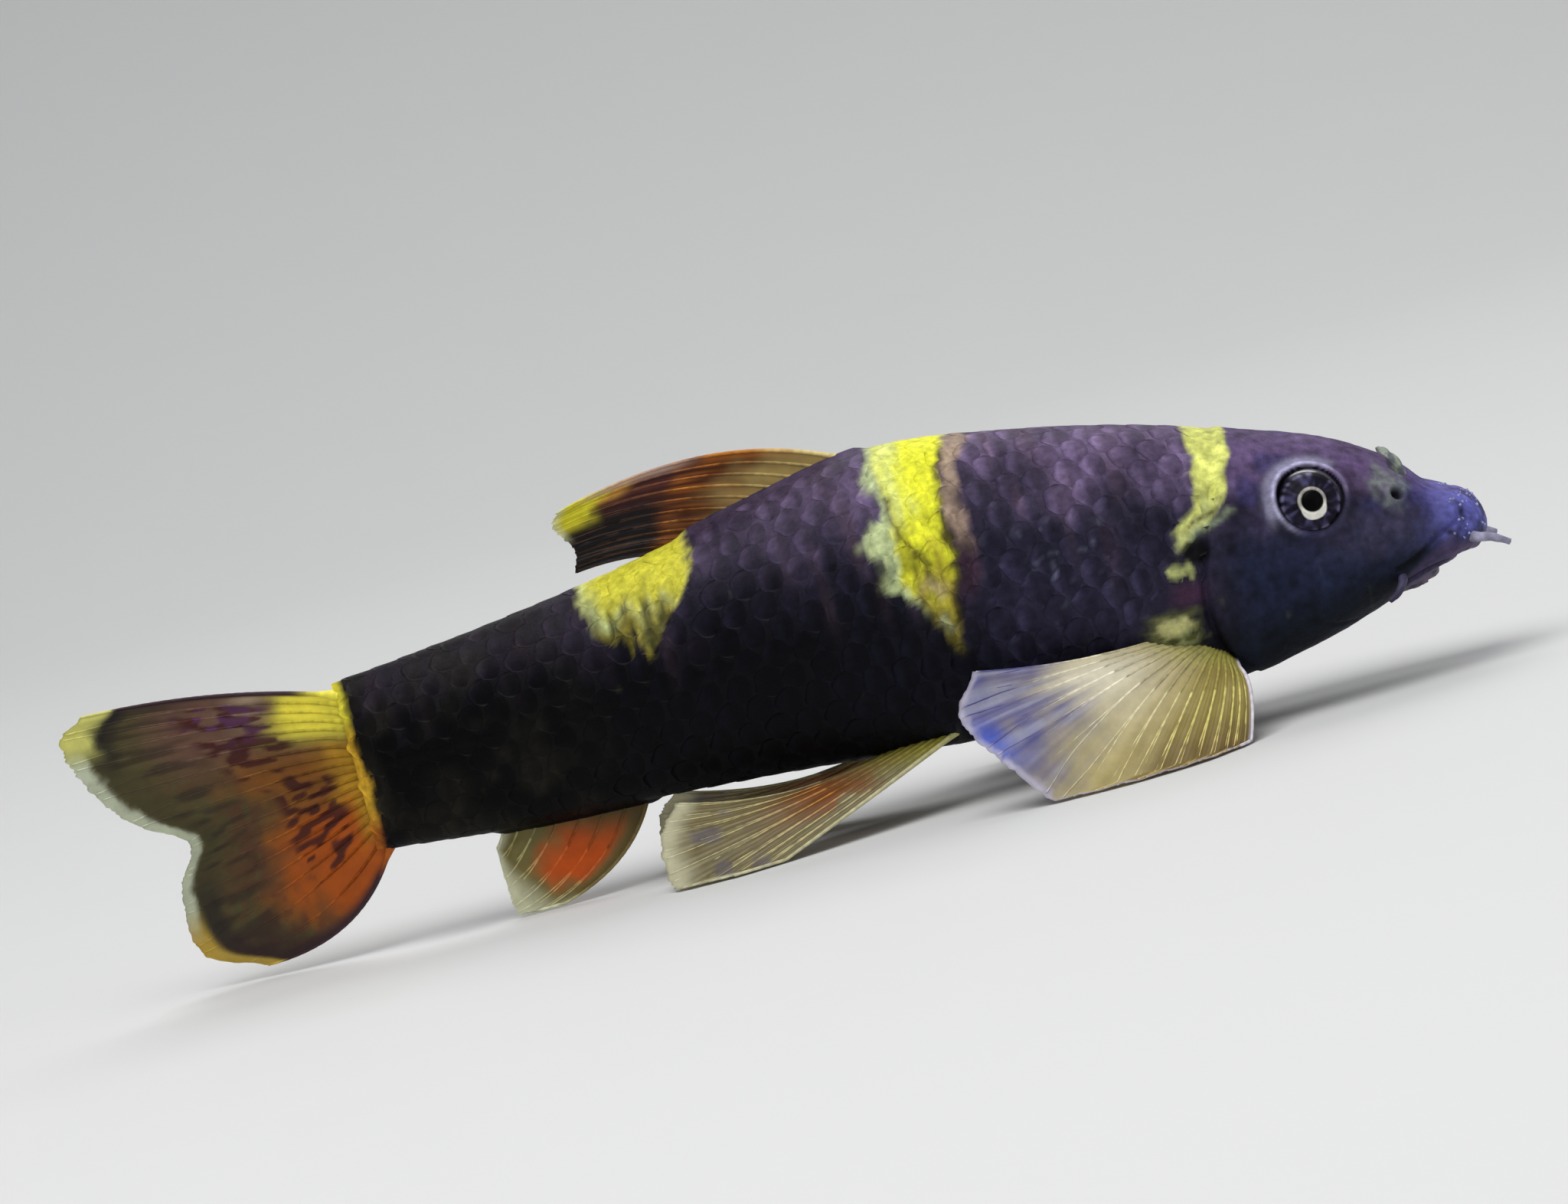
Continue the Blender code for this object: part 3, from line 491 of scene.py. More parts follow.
def coatTone(points, station, z, edge=0.22):
    back, belly, _, _ = bodySize(np.clip(station, 2.0, body["length"]))
    share = np.clip((z - belly) / (back - belly), 0, 1)
    ruffle = 0.26 * noise(points, 1.2, 3) + 0.17 * noise(points, 0.5, 4)
    upright = points * (1, 0, 0.22)
    streak = noise(upright + (0, 3, 0), 0.42, 6)
    cloud = noise(points, 2.4, 5) + 0.6 * noise(points, 1.1, 7)
    low = 0.10 + 0.36 * smooth(27, 36, station)  # the dark underside climbs the flank behind the saddle
    rosy = smooth(0.1, 0.8, noise(upright, 0.8, 8)) * smooth(0.35, 0.75, share) * smooth(18, 22, station)
    # from the belly up to the back: the body's own colours with painted light, near black under the belly as
    # painted shade and plum along the back with a painted highlight where light falls from above
    tone = coats(
        paint["darkBellyAndShade"],
        ("slateFlank", smooth(low, low + 0.35, share)),
        ("plumBackAndHighlight", smooth(0.60, 1.02, share + 0.08 * cloud)),
        ("rose", 0.55 * rosy),
    )
    tone = tone * (1 + 0.26 * cloud + 0.24 * streak)[..., None]
    dots = smooth(0.50, 0.75, noise(points, 0.36, 12)) * hump(station - 24, 4.5) * hump(share - 0.56, 0.2)
    tone = coats(tone, ("blueDot", 0.42 * dots))
    # darker towards the tail
    dim = 1 - 0.66 * smooth(32, 43, station) * smooth(1.02, 0.66, share)
    dim = dim * (1 - 0.72 * smooth(46, 56, station))
    tone = tone * (dim * (1 - 0.55 * smooth(31, 37, station) * smooth(0.78, 0.98, share)))[..., None]
    head = smooth(16.5, 14.0, station)
    s = station + ruffle
    # yellow band over the nape, its pale foot, dark spot and violet patch
    nape, _, _ = inBand("nape", s, z, edge)
    nape = nape * smooth(10.9, 11.7, z)
    foot = hump(np.hypot((s - 18.1) / 0.72, (z + 1.3 * ruffle - 10.0) / 0.62))
    spot = hump(np.hypot((station - 16.95) / 0.95, (z - 10.95) / 0.82))
    tone = coats(
        tone,
        ("olive", 0.75 * smooth(50, 58, station) * smooth(-0.5, 0.4, cloud)),
        ("blueCheek", head * smooth(0.74, 0.38, share)),
        ("violetCrown", head * smooth(0.58, 0.90, share + 0.06 * cloud) * smooth(1.5, 4, station)),
        ("blueCrown", 0.55 * head * smooth(0.0, 0.6, noise(points, 1.3, 29)) * smooth(0.4, 0.7, share)),
        # painted shade under the throat and the lower head
        ("throatShade", smooth(18, 14, station) * smooth(0.34, 0.12, share)),
        ("paleYellow", 0.9 * nape),
        ("napeYellow", nape * smooth(12.4, 13.8, z + streak)),
        ("lime", 0.7 * nape * smooth(0.0, 0.7, noise(upright, 0.9, 9)) * smooth(15.4, 14.2, z)),
        ("paleYellow", 0.85 * smooth(0.35, 0.7, foot + 0.4 * streak)),
        ("black", smooth(0.25, 0.7, spot)),
        ("violetRed", 0.6 * hump(np.hypot((station - 18.0) / 1.0, (z - 8.7) / 0.7))),
    )
    # saddle band with a dark line and a tan stripe before it, and a lime fringe behind it
    saddle, front, behind = inBand("saddle", s, z, edge)
    saddle = saddle * smooth(8.6, 10.2, z + 0.8 * ruffle)
    stripe = span(-front, 0.12, 0.40, 1.00, 1.60)
    reach = 0.35 + 1.45 * hump(z - 16.3, 1.2) + 0.7 * hump(z - 19.6, 0.9) + 0.5 * hump(z - 13.3, 0.9)
    fringe = smooth(reach + 0.35, reach - 0.35, behind + 0.5 * streak) * smooth(-0.9, -0.2, behind)
    pale = smooth(-1.5, -0.3, behind + 0.5 * streak) * smooth(15.5, 17.5, z)
    vein = hump(noise(upright, 1.0, 10) - 0.1, 0.13) * smooth(18.5, 14.0, z)
    # band below the dorsal fin, dripping into the dark flank
    drip = z + 1.3 * streak + 0.5 * ruffle
    tail, _, _ = inBand("tail", s, z, edge)
    gaps = smooth(-0.30, 0.20, noise(upright + (5, 0, 0), 0.42, 15))
    gaps = gaps * smooth(17.4, 15.6, z) * smooth(13.5, 14.8, drip)
    tone = coats(
        tone,
        ("maroon", 0.7 * stripe * smooth(11, 13, z)),
        ("tan", stripe * smooth(14.0, 16.6, z + 0.6 * streak) * (0.70 + 0.30 * streak)),
        ("white", fringe * smooth(11.0, 12.5, z) * (0.80 + 0.2 * streak)),
        ("oldGold", 0.95 * saddle),
        ("yellow", saddle * smooth(11.6, 15.2, z + 1.7 * streak + 1.5 * ruffle)),
        ("lime", 0.75 * saddle * pale),
        ("brown", 0.7 * saddle * vein),
        ("brown", 0.80 * hump(-front - 0.04, 0.17) * span(z, 9, 11, 19.5, 21.0)),
        ("oldGold", 0.9 * tail * smooth(13.5, 14.8, drip)),
        ("white", tail * smooth(14.2, 15.6, drip) * (0.32 + 0.5 * smooth(49.0, 51.0, s))),
        ("tailYellow", tail * smooth(15.4, 16.7, drip) * smooth(51.6, 50.4, s + 0.5 * streak)),
        ("darkGap", 0.85 * tail * gaps),
    )
    flat = np.stack([s + 0.3 * ruffle, z], axis=-1)
    for colour, strength, width, path in veins:
        tone = coats(tone, (colour, strength * hump(pathDistance(flat, np.array(path)), width)))
    upper = smooth(12.4, 14.2, z)
    root = coats(paint["rootOrange"], ("rootAmber", smooth(6.8, 8.5, z)), ("rootYellow", upper))
    return blend(tone, root, smooth(66.1, 66.6, s))


skin = {
    "steps": ((0.02, 13.0, 0.085), (13.0, 19.0, 0.12), (19.0, 66.8, 0.36)),  # from, to, spacing
    "around": 256,
    "coatDepth": 0.13,  # how far the trunk's skin lies inside its scales
    "coverLip": 0.26,
    "orbitRim": 0.13,
    "orbitRadius": 2.16,
    "mouthDepth": 0.45,
    "mouthSetback": 0.42,
    "dorsalRidge": (33.2, 34.2, 44.4, 45.6),  # stations where it rises, stands in full, fades and ends
    "analRidge": (49.8, 50.6, 59.2, 60.4),
    "grooves": (("cheekGroove", 0.20, 0.17), ("preopercle", 0.10, 0.2), ("fold", 0.06, 0.22)),  # depth, width
}
headMarks = {  # stations and heights
    "nostril": (4.9, 10.9),
    "cheekGroove": ((2.1, 8.4), (3.0, 8.0), (4.0, 7.5), (5.0, 7.0), (6.0, 6.7)),
    "preopercle": ((12.3, 12.4), (13.3, 10.2), (13.2, 7.6), (12.0, 5.5), (10.0, 4.5), (8.2, 4.4)),
    "fold": ((6.6, 7.2), (8.6, 7.0), (10.6, 7.4), (12.2, 8.4)),
    "pores": (
        (6.6, 14.2), (8.0, 15.0), (9.6, 15.5), (11.4, 15.7), (6.3, 9.4),
        (7.4, 8.9), (8.8, 8.7), (10.2, 8.9), (11.6, 9.8), (12.6, 11.2),
    ),
    "finPad": (19.3, 6.7),
}


def mouthPath(setback, out=0.0, half=3.5):
    t = np.linspace(-1, 1, 28)
    station = 1.3 + setback + 4.0 * (1 - np.sqrt(np.clip(1 - t * t, 0, 1)))
    return middlePoint(station, half * t, False) - (0, 0, out)


def headPlaces(points, side):
    near = smooth(-0.2, 0.4, points[..., 1] * side)  # 1 on this side of the head
    centre, look = eyeSeat(side)
    fromEye = points - centre
    radial = norm(fromEye - (fromEye @ look)[..., None] * look)
    fromHole, fromPad = (points - flankPoint(*headMarks[name], side)[0] for name in ("nostril", "finPad"))
    return near, fromEye, radial, fromHole, fromPad


def markDistance(points, name, side):
    return pathDistance(points, np.array([flankPoint(s, h, side)[0] for s, h in headMarks[name]]))


def relief(station, points):  # how far the skin stands out
    z = points[..., 2]
    aside = points[..., 1] - swing(station)
    behind = station - between(body["gillEdge"], z)
    cover = skin["coverLip"] * span(behind, -2.4, -0.3, -0.03, 0.10) - 0.20 * hump(behind - 0.24, 0.2)
    bone = 0.05 * noise(points, 2.4, 11) + 0.022 * noise(points, 0.8, 13) + 0.016 * noise(points, 0.36, 12)
    out = span(z, 2.7, 3.8, 13.2, 14.8) * cover - skin["coatDepth"] * smooth(-0.05, 0.25, behind)
    out = out + bone * smooth(16, 13, station)
    # groove over the snout and the swelling before it
    out = out - 0.16 * hump(station - 2.95, 0.5) * smooth(8.4, 9.8, z)
    out = out + 0.14 * hump(station - 1.7, 0.7) * smooth(8.0, 9.0, z)
    # fleshy ridges under the dorsal and anal fins
    out = out + 0.30 * span(station, *skin["dorsalRidge"]) * smooth(16, 17, z) * hump(aside, 0.42)
    out = out + 0.28 * span(station, *skin["analRidge"]) * smooth(8, 7, z) * hump(aside, 0.40)
    out = out - skin["mouthDepth"] * hump(pathDistance(points, mouthPath(skin["mouthSetback"])), 0.22)
    for side in (-1, 1):
        near, _, radial, fromHole, fromPad = headPlaces(points, side)
        rim = skin["orbitRim"] * hump(radial - skin["orbitRadius"], 0.17)
        rim = rim * (0.85 + 0.45 * noise(points, 0.7, 14))
        socket = -0.06 * hump(radial - 2.75, 0.3) - 1.0 * smooth(1.95, 1.62, radial)
        nostril = 0.14 * hump(norm(fromHole) - 0.55, 0.17) - 0.60 * hump(norm(fromHole), 0.30)
        marks = 0.45 * hump(norm(fromPad / (1.6, 2.2, 1.3)))
        for name, depth, width in skin["grooves"]:
            marks = marks - depth * hump(markDistance(points, name, side), width)
        for pore in headMarks["pores"]:
            marks = marks - 0.12 * hump(norm(points - flankPoint(*pore, side)[0]), 0.11)
        out = out + near * (rim + socket + nostril + marks)
    return out


def skinTone(station, points):
    z = points[..., 2]
    grain = 0.28 * noise(points, 0.3, 21) + 0.30 * noise(points, 0.8, 22) + 0.30 * noise(points, 2.0, 26)
    tone = coatTone(points, station, z) * (1 + grain * smooth(19, 15, station))[..., None]
    for side in (-1, 1):
        near, fromEye, radial, fromHole, fromPad = headPlaces(points, side)
        # lit is 1 on the upper rear side of the eye, where the pale rim round the orbit is a painted
        # highlight
        lit = (fromEye[..., 2] - 0.6 * fromEye[..., 0]) / 2.2 + 0.3 * noise(points, 0.6, 23)
        lit = smooth(-0.55, 1.0, lit)
        glow = hump(radial - 2.19, 0.13) * (0.03 + 0.87 * lit) * (0.72 + 0.45 * noise(points, 0.35, 31))
        away = norm((fromHole + (0.15, 0, -1.0)) / (1.55, 2.2, 1.95)) + 0.3 * noise(points, 0.6, 24)
        patch = smooth(1.1, 0.35, away) * (0.62 + 0.38 * noise(points, 0.22, 27))
        pad = (np.abs(fromPad / (1.75, 2.6, 1.45)) ** 3).sum(axis=-1) ** (1 / 3)
        ragged = noise(points * (1, 1, 2.2), 0.55, 28) + 0.6 * noise(points, 0.25, 30)
        fleshy = smooth(1.15, 0.55, pad + 0.25 * ragged)
        back = station - headMarks["finPad"][0]
        lens = np.hypot(back / 1.35, (z - 7.15 - 0.10 * back) / 0.62)
        layers = (
            ("black", 0.55 * hump(radial - 2.65, 0.45)),
            # painted highlight on the orbit's rim and round it, on the upper rear side
            ("paleOrbitAndHighlight", glow),
            ("paleOrbitAndHighlight", 0.30 * hump(radial - 2.50, 0.34) * smooth(0.35, 0.9, lit)),
            # painted shade in the socket's gap round the eyeball
            ("black", smooth(2.04, 1.94, radial)),
            ("paleNostril", 0.80 * patch),
            # painted shade in the nostril pit
            ("black", smooth(0.46, 0.24, norm(fromHole))),
            # painted shade in the cheek groove
            ("black", 0.85 * hump(markDistance(points, "cheekGroove", side), 0.22)),
            ("padOlive", fleshy),
            ("padGreen", 0.75 * fleshy * smooth(0.05, 0.55, ragged) * smooth(7.4, 6.8, z)),
            ("padYellow", 0.9 * smooth(1.15, 0.5, lens + 0.30 * ragged)),
        )
        tone = coats(tone, *((colour, near * share) for colour, share in layers))
    flecks = noise(points, 0.7, 25) + 0.8 * noise(points, 0.3, 34)
    lilac = hump(np.hypot((station - 6.0) / 3.4, (z - 9.2 - 0.10 * (station - 6)) / 1.6))
    snout = smooth(4.8, 1.4, station + 0.8 * flecks) * smooth(6.8, 8.0, z)
    lipStrip = span(station, 1.8, 2.6, 5.2, 6.2) * smooth(0.2, -0.3, z - 9.3 + 0.55 * station)
    return coats(
        tone,
        ("lilacSnout", 0.75 * lilac * (0.8 + 0.35 * flecks) * smooth(7.0, 7.9, z)),
        ("blueSnout", snout * (0.52 + 0.40 * flecks)),
        ("lilacLip", 0.7 * smooth(3.4, 2.6, station) * smooth(7.6, 6.8, z)),
        ("violetLip", 0.65 * lipStrip * smooth(5.6, 6.0, z + 0.2 * station)),
        # painted shade along the mouth's groove
        ("black", 0.8 * hump(pathDistance(points, mouthPath(skin["mouthSetback"])), 0.25)),
    )


def makeSkin():
    stations = np.concatenate([np.arange(*steps) for steps in skin["steps"]] + [[body["length"]]])
    s, turn = grid(stations, fullTurn(skin["around"]))
    rows, around = s.shape
    s, turn = s.ravel(), turn.ravel()
    points = bodyPoint(s, turn)
    placed = points + relief(s, points)[:, None] * bodyNormal(s, turn)
    tones = skinTone(s, points)
    placed = np.vstack([placed, bodyPoint(0.0, 0.0) + (0.02, 0, 0), placed[-around:].mean(axis=0)])
    tones = np.vstack([tones, tones[:1], tones[-1:]])
    flesh = ("head", "gill_cover_left", "gill_cover_right", "trunk_front", "trunk_rear", "tail_stem")
    return makePiece("skin", placed, cappedFaces(rows, around), "headSkin", tones, flesh)


skinPiece = makeSkin()
print("skin made:", len(skinPiece.data.polygons), "faces")

scales = {
    "columnPitch": 1.70,
    "rowPitch": 1.60,  # at the deepest part of the trunk
    "length": 2.75,
    "overlap": 1.42,  # a scale's height as a share of the row pitch
    "lift": 0.045,  # free edge above the skin
    "tuck": 0.06,  # hidden edge below it
    "thickness": 0.035,
    "grid": (10, 9),
    "first": 13.8,  # station of the first column
    "last": 66.9,
    "fullGirth": 26.5,  # half way round the deepest part of the trunk
    "split": 41.0,  # the station that parts the two pieces
    "sideLine": (
        (16.0, 11.8), (24.0, 11.2), (33.0, 11.5), (41.0, 11.5), (50.0, 11.2), (58.0, 11.0), (66.8, 10.9),
    ),
}


def arcTable(station):  # angles from the side line upwards, with their distance along the skin
    line = flankAngle(station, between(scales["sideLine"], station), 1)
    turn = np.linspace(line - np.pi, line + np.pi, 721)
    points = bodyPoint(np.full_like(turn, station), turn)
    reach = np.concatenate([[0], np.cumsum(norm(np.diff(points, axis=0)))])
    reach = reach - np.interp(line, turn, reach)
    low, top = np.interp((-np.pi / 2, np.pi / 2), turn, reach)
    return turn, reach, top, low


def scalePlaces():
    rng = np.random.default_rng(17)
    step = scales["columnPitch"] / 2
    kept = []
    for c in range(int((scales["last"] - scales["first"]) / step)):
        station = scales["first"] + c * step
        turn, reach, top, low = arcTable(station)
        pitch = scales["rowPitch"] * (0.55 + 0.45 * (top - low) / scales["fullGirth"])
        rows = [r * pitch for r in range(-14, 15) if (r + c) % 2 == 0]
        places = [(d, side) for d in rows if low + 0.3 * pitch < d < top - 0.3 * pitch for side in (1, -1)]
        if c % 2 == 0:
            places += [(top, 1), (low, 1)]
        for d, side in places:
            z = bodyPoint(station, np.interp(d, reach, turn))[2]
            start = between(body["gillEdge"], z) + 0.85
            if z < 4.5:  # none on the throat
                start = max(start, 18.0 + 1.2 * (4.5 - z))
            if abs(z - headMarks["finPad"][1]) < 1.5:  # none on the pad of the pectoral fin
                start = max(start, 21.3)
            if station > start:
                kept.append((station, d, pitch, side, rng.uniform(-1, 1, 5)))
    return kept


def makeScales(name, places):
    rows, columns = scales["grid"]
    a, c = grid(np.linspace(-1, 1, rows), np.linspace(-1, 1, columns))
    disc, across = a * np.sqrt(1 - c * c / 2), c * np.sqrt(1 - a * a / 2)
    rim = disc**2 + across**2
    inner = 1 - np.clip(rim, 0, 1)
    share = (disc + 1) / 2  # 0 at the hidden edge, 1 at the free edge
    ribs = 0.006 * np.cos(across * 26) * smooth(0.2, 0.9, disc)
    oneScale = sheetFaces(rows, columns)
    allPoints, allTones, allFaces, patches = [], [], [], []
    for index, (station, d, pitch, side, luck) in enumerate(places):
        turn, reach, _, _ = arcTable(station)
        long = scales["length"] * (0.72 + 0.28 * pitch / scales["rowPitch"]) / 2 * (1 + 0.05 * luck[0])
        wide = scales["overlap"] * pitch / 2 * (1 + 0.05 * luck[1])
        wave = 0.06 * pitch * np.sin(5 * across + 3 * luck[2]) * smooth(0.4, 1, disc)
        s = station + disc * long + wave
        angle = np.interp(d + across * wide, reach, turn)
        flank = np.pi - angle if side < 0 else angle
        place = bodyPoint(s, flank)
        normal = bodyNormal(s, flank)
        lift = -scales["tuck"] + (scales["lift"] + scales["tuck"] + 0.02 * luck[3]) * share
        height = lift + 0.014 * inner - 0.022 * smooth(0.75, 1.0, rim) + ribs - skin["coatDepth"]
        if abs(d) < 0.1:  # tubes of the side line
            height = height + 0.085 * hump(across * wide, 0.16) * span(disc, -0.5, 0.0, 0.55, 0.95)
        upper = place + height[..., None] * normal
        under = upper - (scales["thickness"] + 0.03 * inner)[..., None] * normal
        tone = coatTone(place, s, place[..., 2], 0.25)
        bright = smooth(0.15, 0.35, tone.max(axis=-1))
        lively = smooth(-0.5, 0.4, noise(place, 1.9, 33))  # where light scale edges show
        bar = smooth(0.34, 0.72, disc) * (0.25 + 0.75 * lively)
        shade = 0.74 + (0.95 + 0.12 * luck[2]) * bar + 0.04 * luck[4]
        shade = shade + (0.97 + 0.06 * (shade - 0.74) - shade) * bright
        freckle = 1 + 0.22 * noise(place, 0.22, 31) + 0.15 * noise(place, 0.6, 32)
        tone = tone * (shade * freckle)[..., None]
        allPoints += [upper, under]
        # each scale's under layer takes 0.4 of the upper tone, a painted shade under the scale and along its
        # edge
        allTones += [tone, 0.4 * tone]
        allFaces.append(oneScale + index * 2 * rows * columns)
        spot = np.array([station / 70, (flank[rows // 2, columns // 2] / (2 * np.pi)) % 1])
        patches += 2 * [spot + 0.0015 * np.stack([disc, across], axis=-1).reshape(-1, 2)]
    points, tones = np.concatenate(allPoints), np.concatenate(allTones)
    mesh = makePiece(name, points, np.vstack(allFaces), "scaleSkin", tones).data
    loops = np.empty(len(mesh.loops), int)
    mesh.loops.foreach_get("vertex_index", loops)
    mesh.uv_layers.new(name="OFBake").data.foreach_set("uv", np.vstack(patches)[loops].ravel())


places = scalePlaces()
makeScales("scales_front", [p for p in places if p[0] < scales["split"]])
makeScales("scales_rear", [p for p in places if p[0] >= scales["split"]])
print("scales made:", len(places))

# across, root, middle, tip of each guiding ray
fins = {
    "pectoral": {
        "rays": (
            (0.00, (43.4, 4.6, 4.0), (44.8, 8.6, 3.6), (42.3, 11.5, -1.4)),
            (0.22, (43.0, 4.8, 4.6), (43.6, 9.4, 3.9), (39.8, 13.4, -1.7)),
            (0.42, (42.6, 4.9, 5.1), (41.2, 9.9, 4.2), (36.0, 14.2, -1.8)),
            (0.60, (42.3, 5.0, 5.6), (38.8, 9.9, 4.9), (32.4, 13.8, -1.0)),
            (0.76, (42.0, 5.0, 6.0), (36.8, 9.7, 5.8), (28.9, 12.9, 3.2)),
            (0.90, (41.8, 5.0, 6.3), (35.3, 9.0, 6.4), (27.4, 11.7, 6.0)),
            (1.00, (41.6, 5.0, 6.6), (35.3, 8.0, 6.4), (28.9, 10.4, 8.1)),
        ),
        "count": 17,
        "fleshyRoot": 0.30,
        "onFloor": True,
    },
    "pelvic": {
        "rays": (
            (0.00, (28.2, 2.9, 4.6), (22.0, 5.6, 2.3), (12.8, 7.6, -0.9)),
            (0.35, (27.1, 2.5, 4.7), (19.6, 5.1, 2.4), (9.6, 6.9, -0.5)),
            (0.70, (26.0, 2.0, 4.7), (17.8, 3.9, 2.4), (9.2, 5.2, 2.8)),
            (1.00, (24.9, 1.5, 4.6), (18.2, 2.5, 2.2), (10.6, 3.3, 4.6)),
        ),
        "count": 9,
        "fleshyRoot": 0.10,
        "onFloor": True,
    },
    "dorsal": {
        "rays": (
            (0.00, (26.0, 0.0, 20.4), (18.6, 0.3, 24.8), (8.3, 0.9, 22.1)),
            (0.30, (22.6, 0.0, 19.6), (15.6, 0.4, 22.9), (7.9, 1.1, 21.3)),
            (0.65, (18.8, 0.0, 18.6), (14.0, 0.4, 20.4), (8.8, 1.0, 19.8)),
            (1.00, (15.6, 0.0, 17.7), (12.4, 0.5, 19.0), (8.5, 0.9, 18.5)),
        ),
        "count": 11,
        "fleshyRoot": 0.10,
        "onFloor": False,
    },
    "anal": {
        "rays": (
            (0.00, (9.6, 0.5, 6.1), (7.9, 0.7, 0.9), (1.2, 1.2, -0.15)),
            (0.30, (7.0, 0.7, 6.1), (5.0, 0.9, 1.6), (0.1, 1.3, 0.3)),
            (0.65, (3.8, 0.9, 6.2), (2.2, 1.0, 3.4), (-0.1, 1.3, 2.2)),
            (1.00, (0.8, 1.1, 6.3), (0.6, 1.2, 4.9), (-0.1, 1.3, 4.3)),
        ),
        "count": 8,
        "fleshyRoot": 0.10,
        "onFloor": True,
    },
    "caudal": {
        "rays": (
            (0.00, (-5.6, 1.9, 14.9), (-13.0, 2.6, 17.6), (-21.3, 2.2, 17.9)),
            (0.10, (-5.6, 1.9, 14.0), (-13.6, 2.7, 16.6), (-22.9, 2.1, 16.8)),
            (0.28, (-5.6, 1.9, 12.5), (-13.4, 2.8, 14.3), (-22.0, 2.4, 13.6)),
            (0.42, (-5.6, 1.9, 11.4), (-12.5, 3.0, 12.0), (-20.0, 3.1, 10.9)),
            (0.52, (-5.6, 1.9, 10.7), (-11.6, 3.2, 10.4), (-17.4, 3.8, 9.1)),
            (0.70, (-5.6, 1.9, 9.4), (-12.0, 3.6, 7.4), (-18.7, 5.4, 6.2)),
            (0.88, (-5.6, 1.9, 8.0), (-11.4, 3.7, 3.8), (-18.5, 6.5, 2.2)),
            (1.00, (-5.6, 1.9, 6.8), (-8.3, 3.0, 1.0), (-15.0, 5.8, 0.75)),
        ),
        "count": 19,
        "fleshyRoot": 0.42,
        "onFloor": False,
    },
}
finBuild = {
    "membrane": 0.08,  # thickness
    "rayRoot": 0.135,
    "rayTip": 0.060,
    "raySides": 7,
    "fork": 0.42,  # where a ray branches, as a share of its length
    "notch": 0.008,  # share of the length taken out between ray tips
    "pleat": 0.05,
    "step": 0.2,  # between the joints of a ray
    "floorGap": 0.20,
}


def finPoint(fin, across, along, side=1):
    across, along = np.broadcast_arrays(np.asarray(across, float), np.asarray(along, float))
    guide = np.array([[a, *root, *middle, *tip] for a, root, middle, tip in fin["rays"]])
    columns = ((1, 2, 3), (4, 5, 6), (7, 8, 9))
    root, middle, tip = (np.stack([curveAt(guide, across, c) for c in three], -1) for three in columns)
    t = along[..., None]
    point = root * (1 - t) ** 2 + middle * 2 * t * (1 - t) + tip * t * t
    if fin["onFloor"]:
        point[..., 2] = np.maximum(point[..., 2], finBuild["floorGap"])
    return point * (1, side, 1)


def finNormal(fin, across, along, side=1):
    along = np.clip(along, 0.02, 0.98)
    before, after = np.clip(across - 0.01, 0, 1), np.clip(across + 0.01, 0, 1)
    sideways = finPoint(fin, after, along, side) - finPoint(fin, before, along, side)
    outwards = finPoint(fin, across, along + 0.01, side) - finPoint(fin, across, along - 0.01, side)
    return unit(np.cross(sideways, outwards))


def rayNoise(across, along, often, long, seed, wobble=0):  # changes from ray to ray, and slowly along them
    return noise(np.stack([across * often, along * long + wobble, 0 * along], -1), 1.0, seed)


def rayBranches(across, often, wobble):
    return 0.5 + 0.5 * np.cos(2 * np.pi * across * often + wobble)


# Fin colours: across runs from the front or upper ray to the last one, along from root to tip;
# n and fine are soft noise, and rays differ from the membrane between them
def pectoralTone(across, along, n, fine, onRay):
    front = smooth(0.62, 0.36, across + 0.05 * n)
    comb = rayNoise(across, along, 46, 1.6, 48)
    # the blue rear tip
    lobe = smooth(0.58, 0.80, across + 0.03 * n) * smooth(0.50, 0.84, along + 0.07 * comb)
    pearly = ((0.98, 0.93, 0.77), 0.90 * hump(across - 0.84, 0.22) * hump(along - 0.47, 0.25))
    if onRay:
        tone = coats(
            (0.74, 0.66, 0.34),
            ((0.74, 0.66, 0.20), front),
            pearly,
            ((0.060, 0.060, 0.30), 0.92 * lobe),
            ((0.60, 0.42, 0.22), 0.7 * front * smooth(0.60, 0.88, along)),
        )
    else:
        branches = rayBranches(across, 48, 0.5 * n)
        tone = coats(
            (0.68, 0.58, 0.26),
            ((0.38, 0.29, 0.090), front * smooth(0.05, 0.22, along)),
            ((0.70, 0.60, 0.18), 0.60 * front * branches**2 * smooth(0.2, 0.4, along)),
            ((0.34, 0.25, 0.10), 0.35 * (1 - front) * smooth(0.35, -0.35, comb) * smooth(0.62, 0.40, along)),
            pearly,
            ((0.165, 0.165, 0.42), lobe * (0.78 + 0.20 * n)),
            ((0.070, 0.070, 0.30), 0.50 * lobe * branches**3),
            ((0.56, 0.57, 0.70), 0.60 * lobe * smooth(0.10, 0.45, rayNoise(across, along, 62, 3.0, 46))),
            ((0.10, 0.17, 0.74), 0.8 * hump(across - 0.80, 0.07) * smooth(0.86, 0.97, along)),
            ((0.17, 0.10, 0.05), front * smooth(0.50, 0.85, along) * (0.60 + 0.3 * n)),
        )
    pale = np.maximum(smooth(0.035, 0.0, across), smooth(0.965, 0.99, along + 0.015 * fine))
    return coats(
        tone,
        ((0.52, 0.50, 0.10), 0.7 * smooth(0.30, 0.04, along)),
        ((0.72, 0.68, 0.80), 0.9 * pale),
        ((0.075, 0.085, 0.025), smooth(0.10, 0.02, along) * (0.20 + 0.5 * fine)),
    )


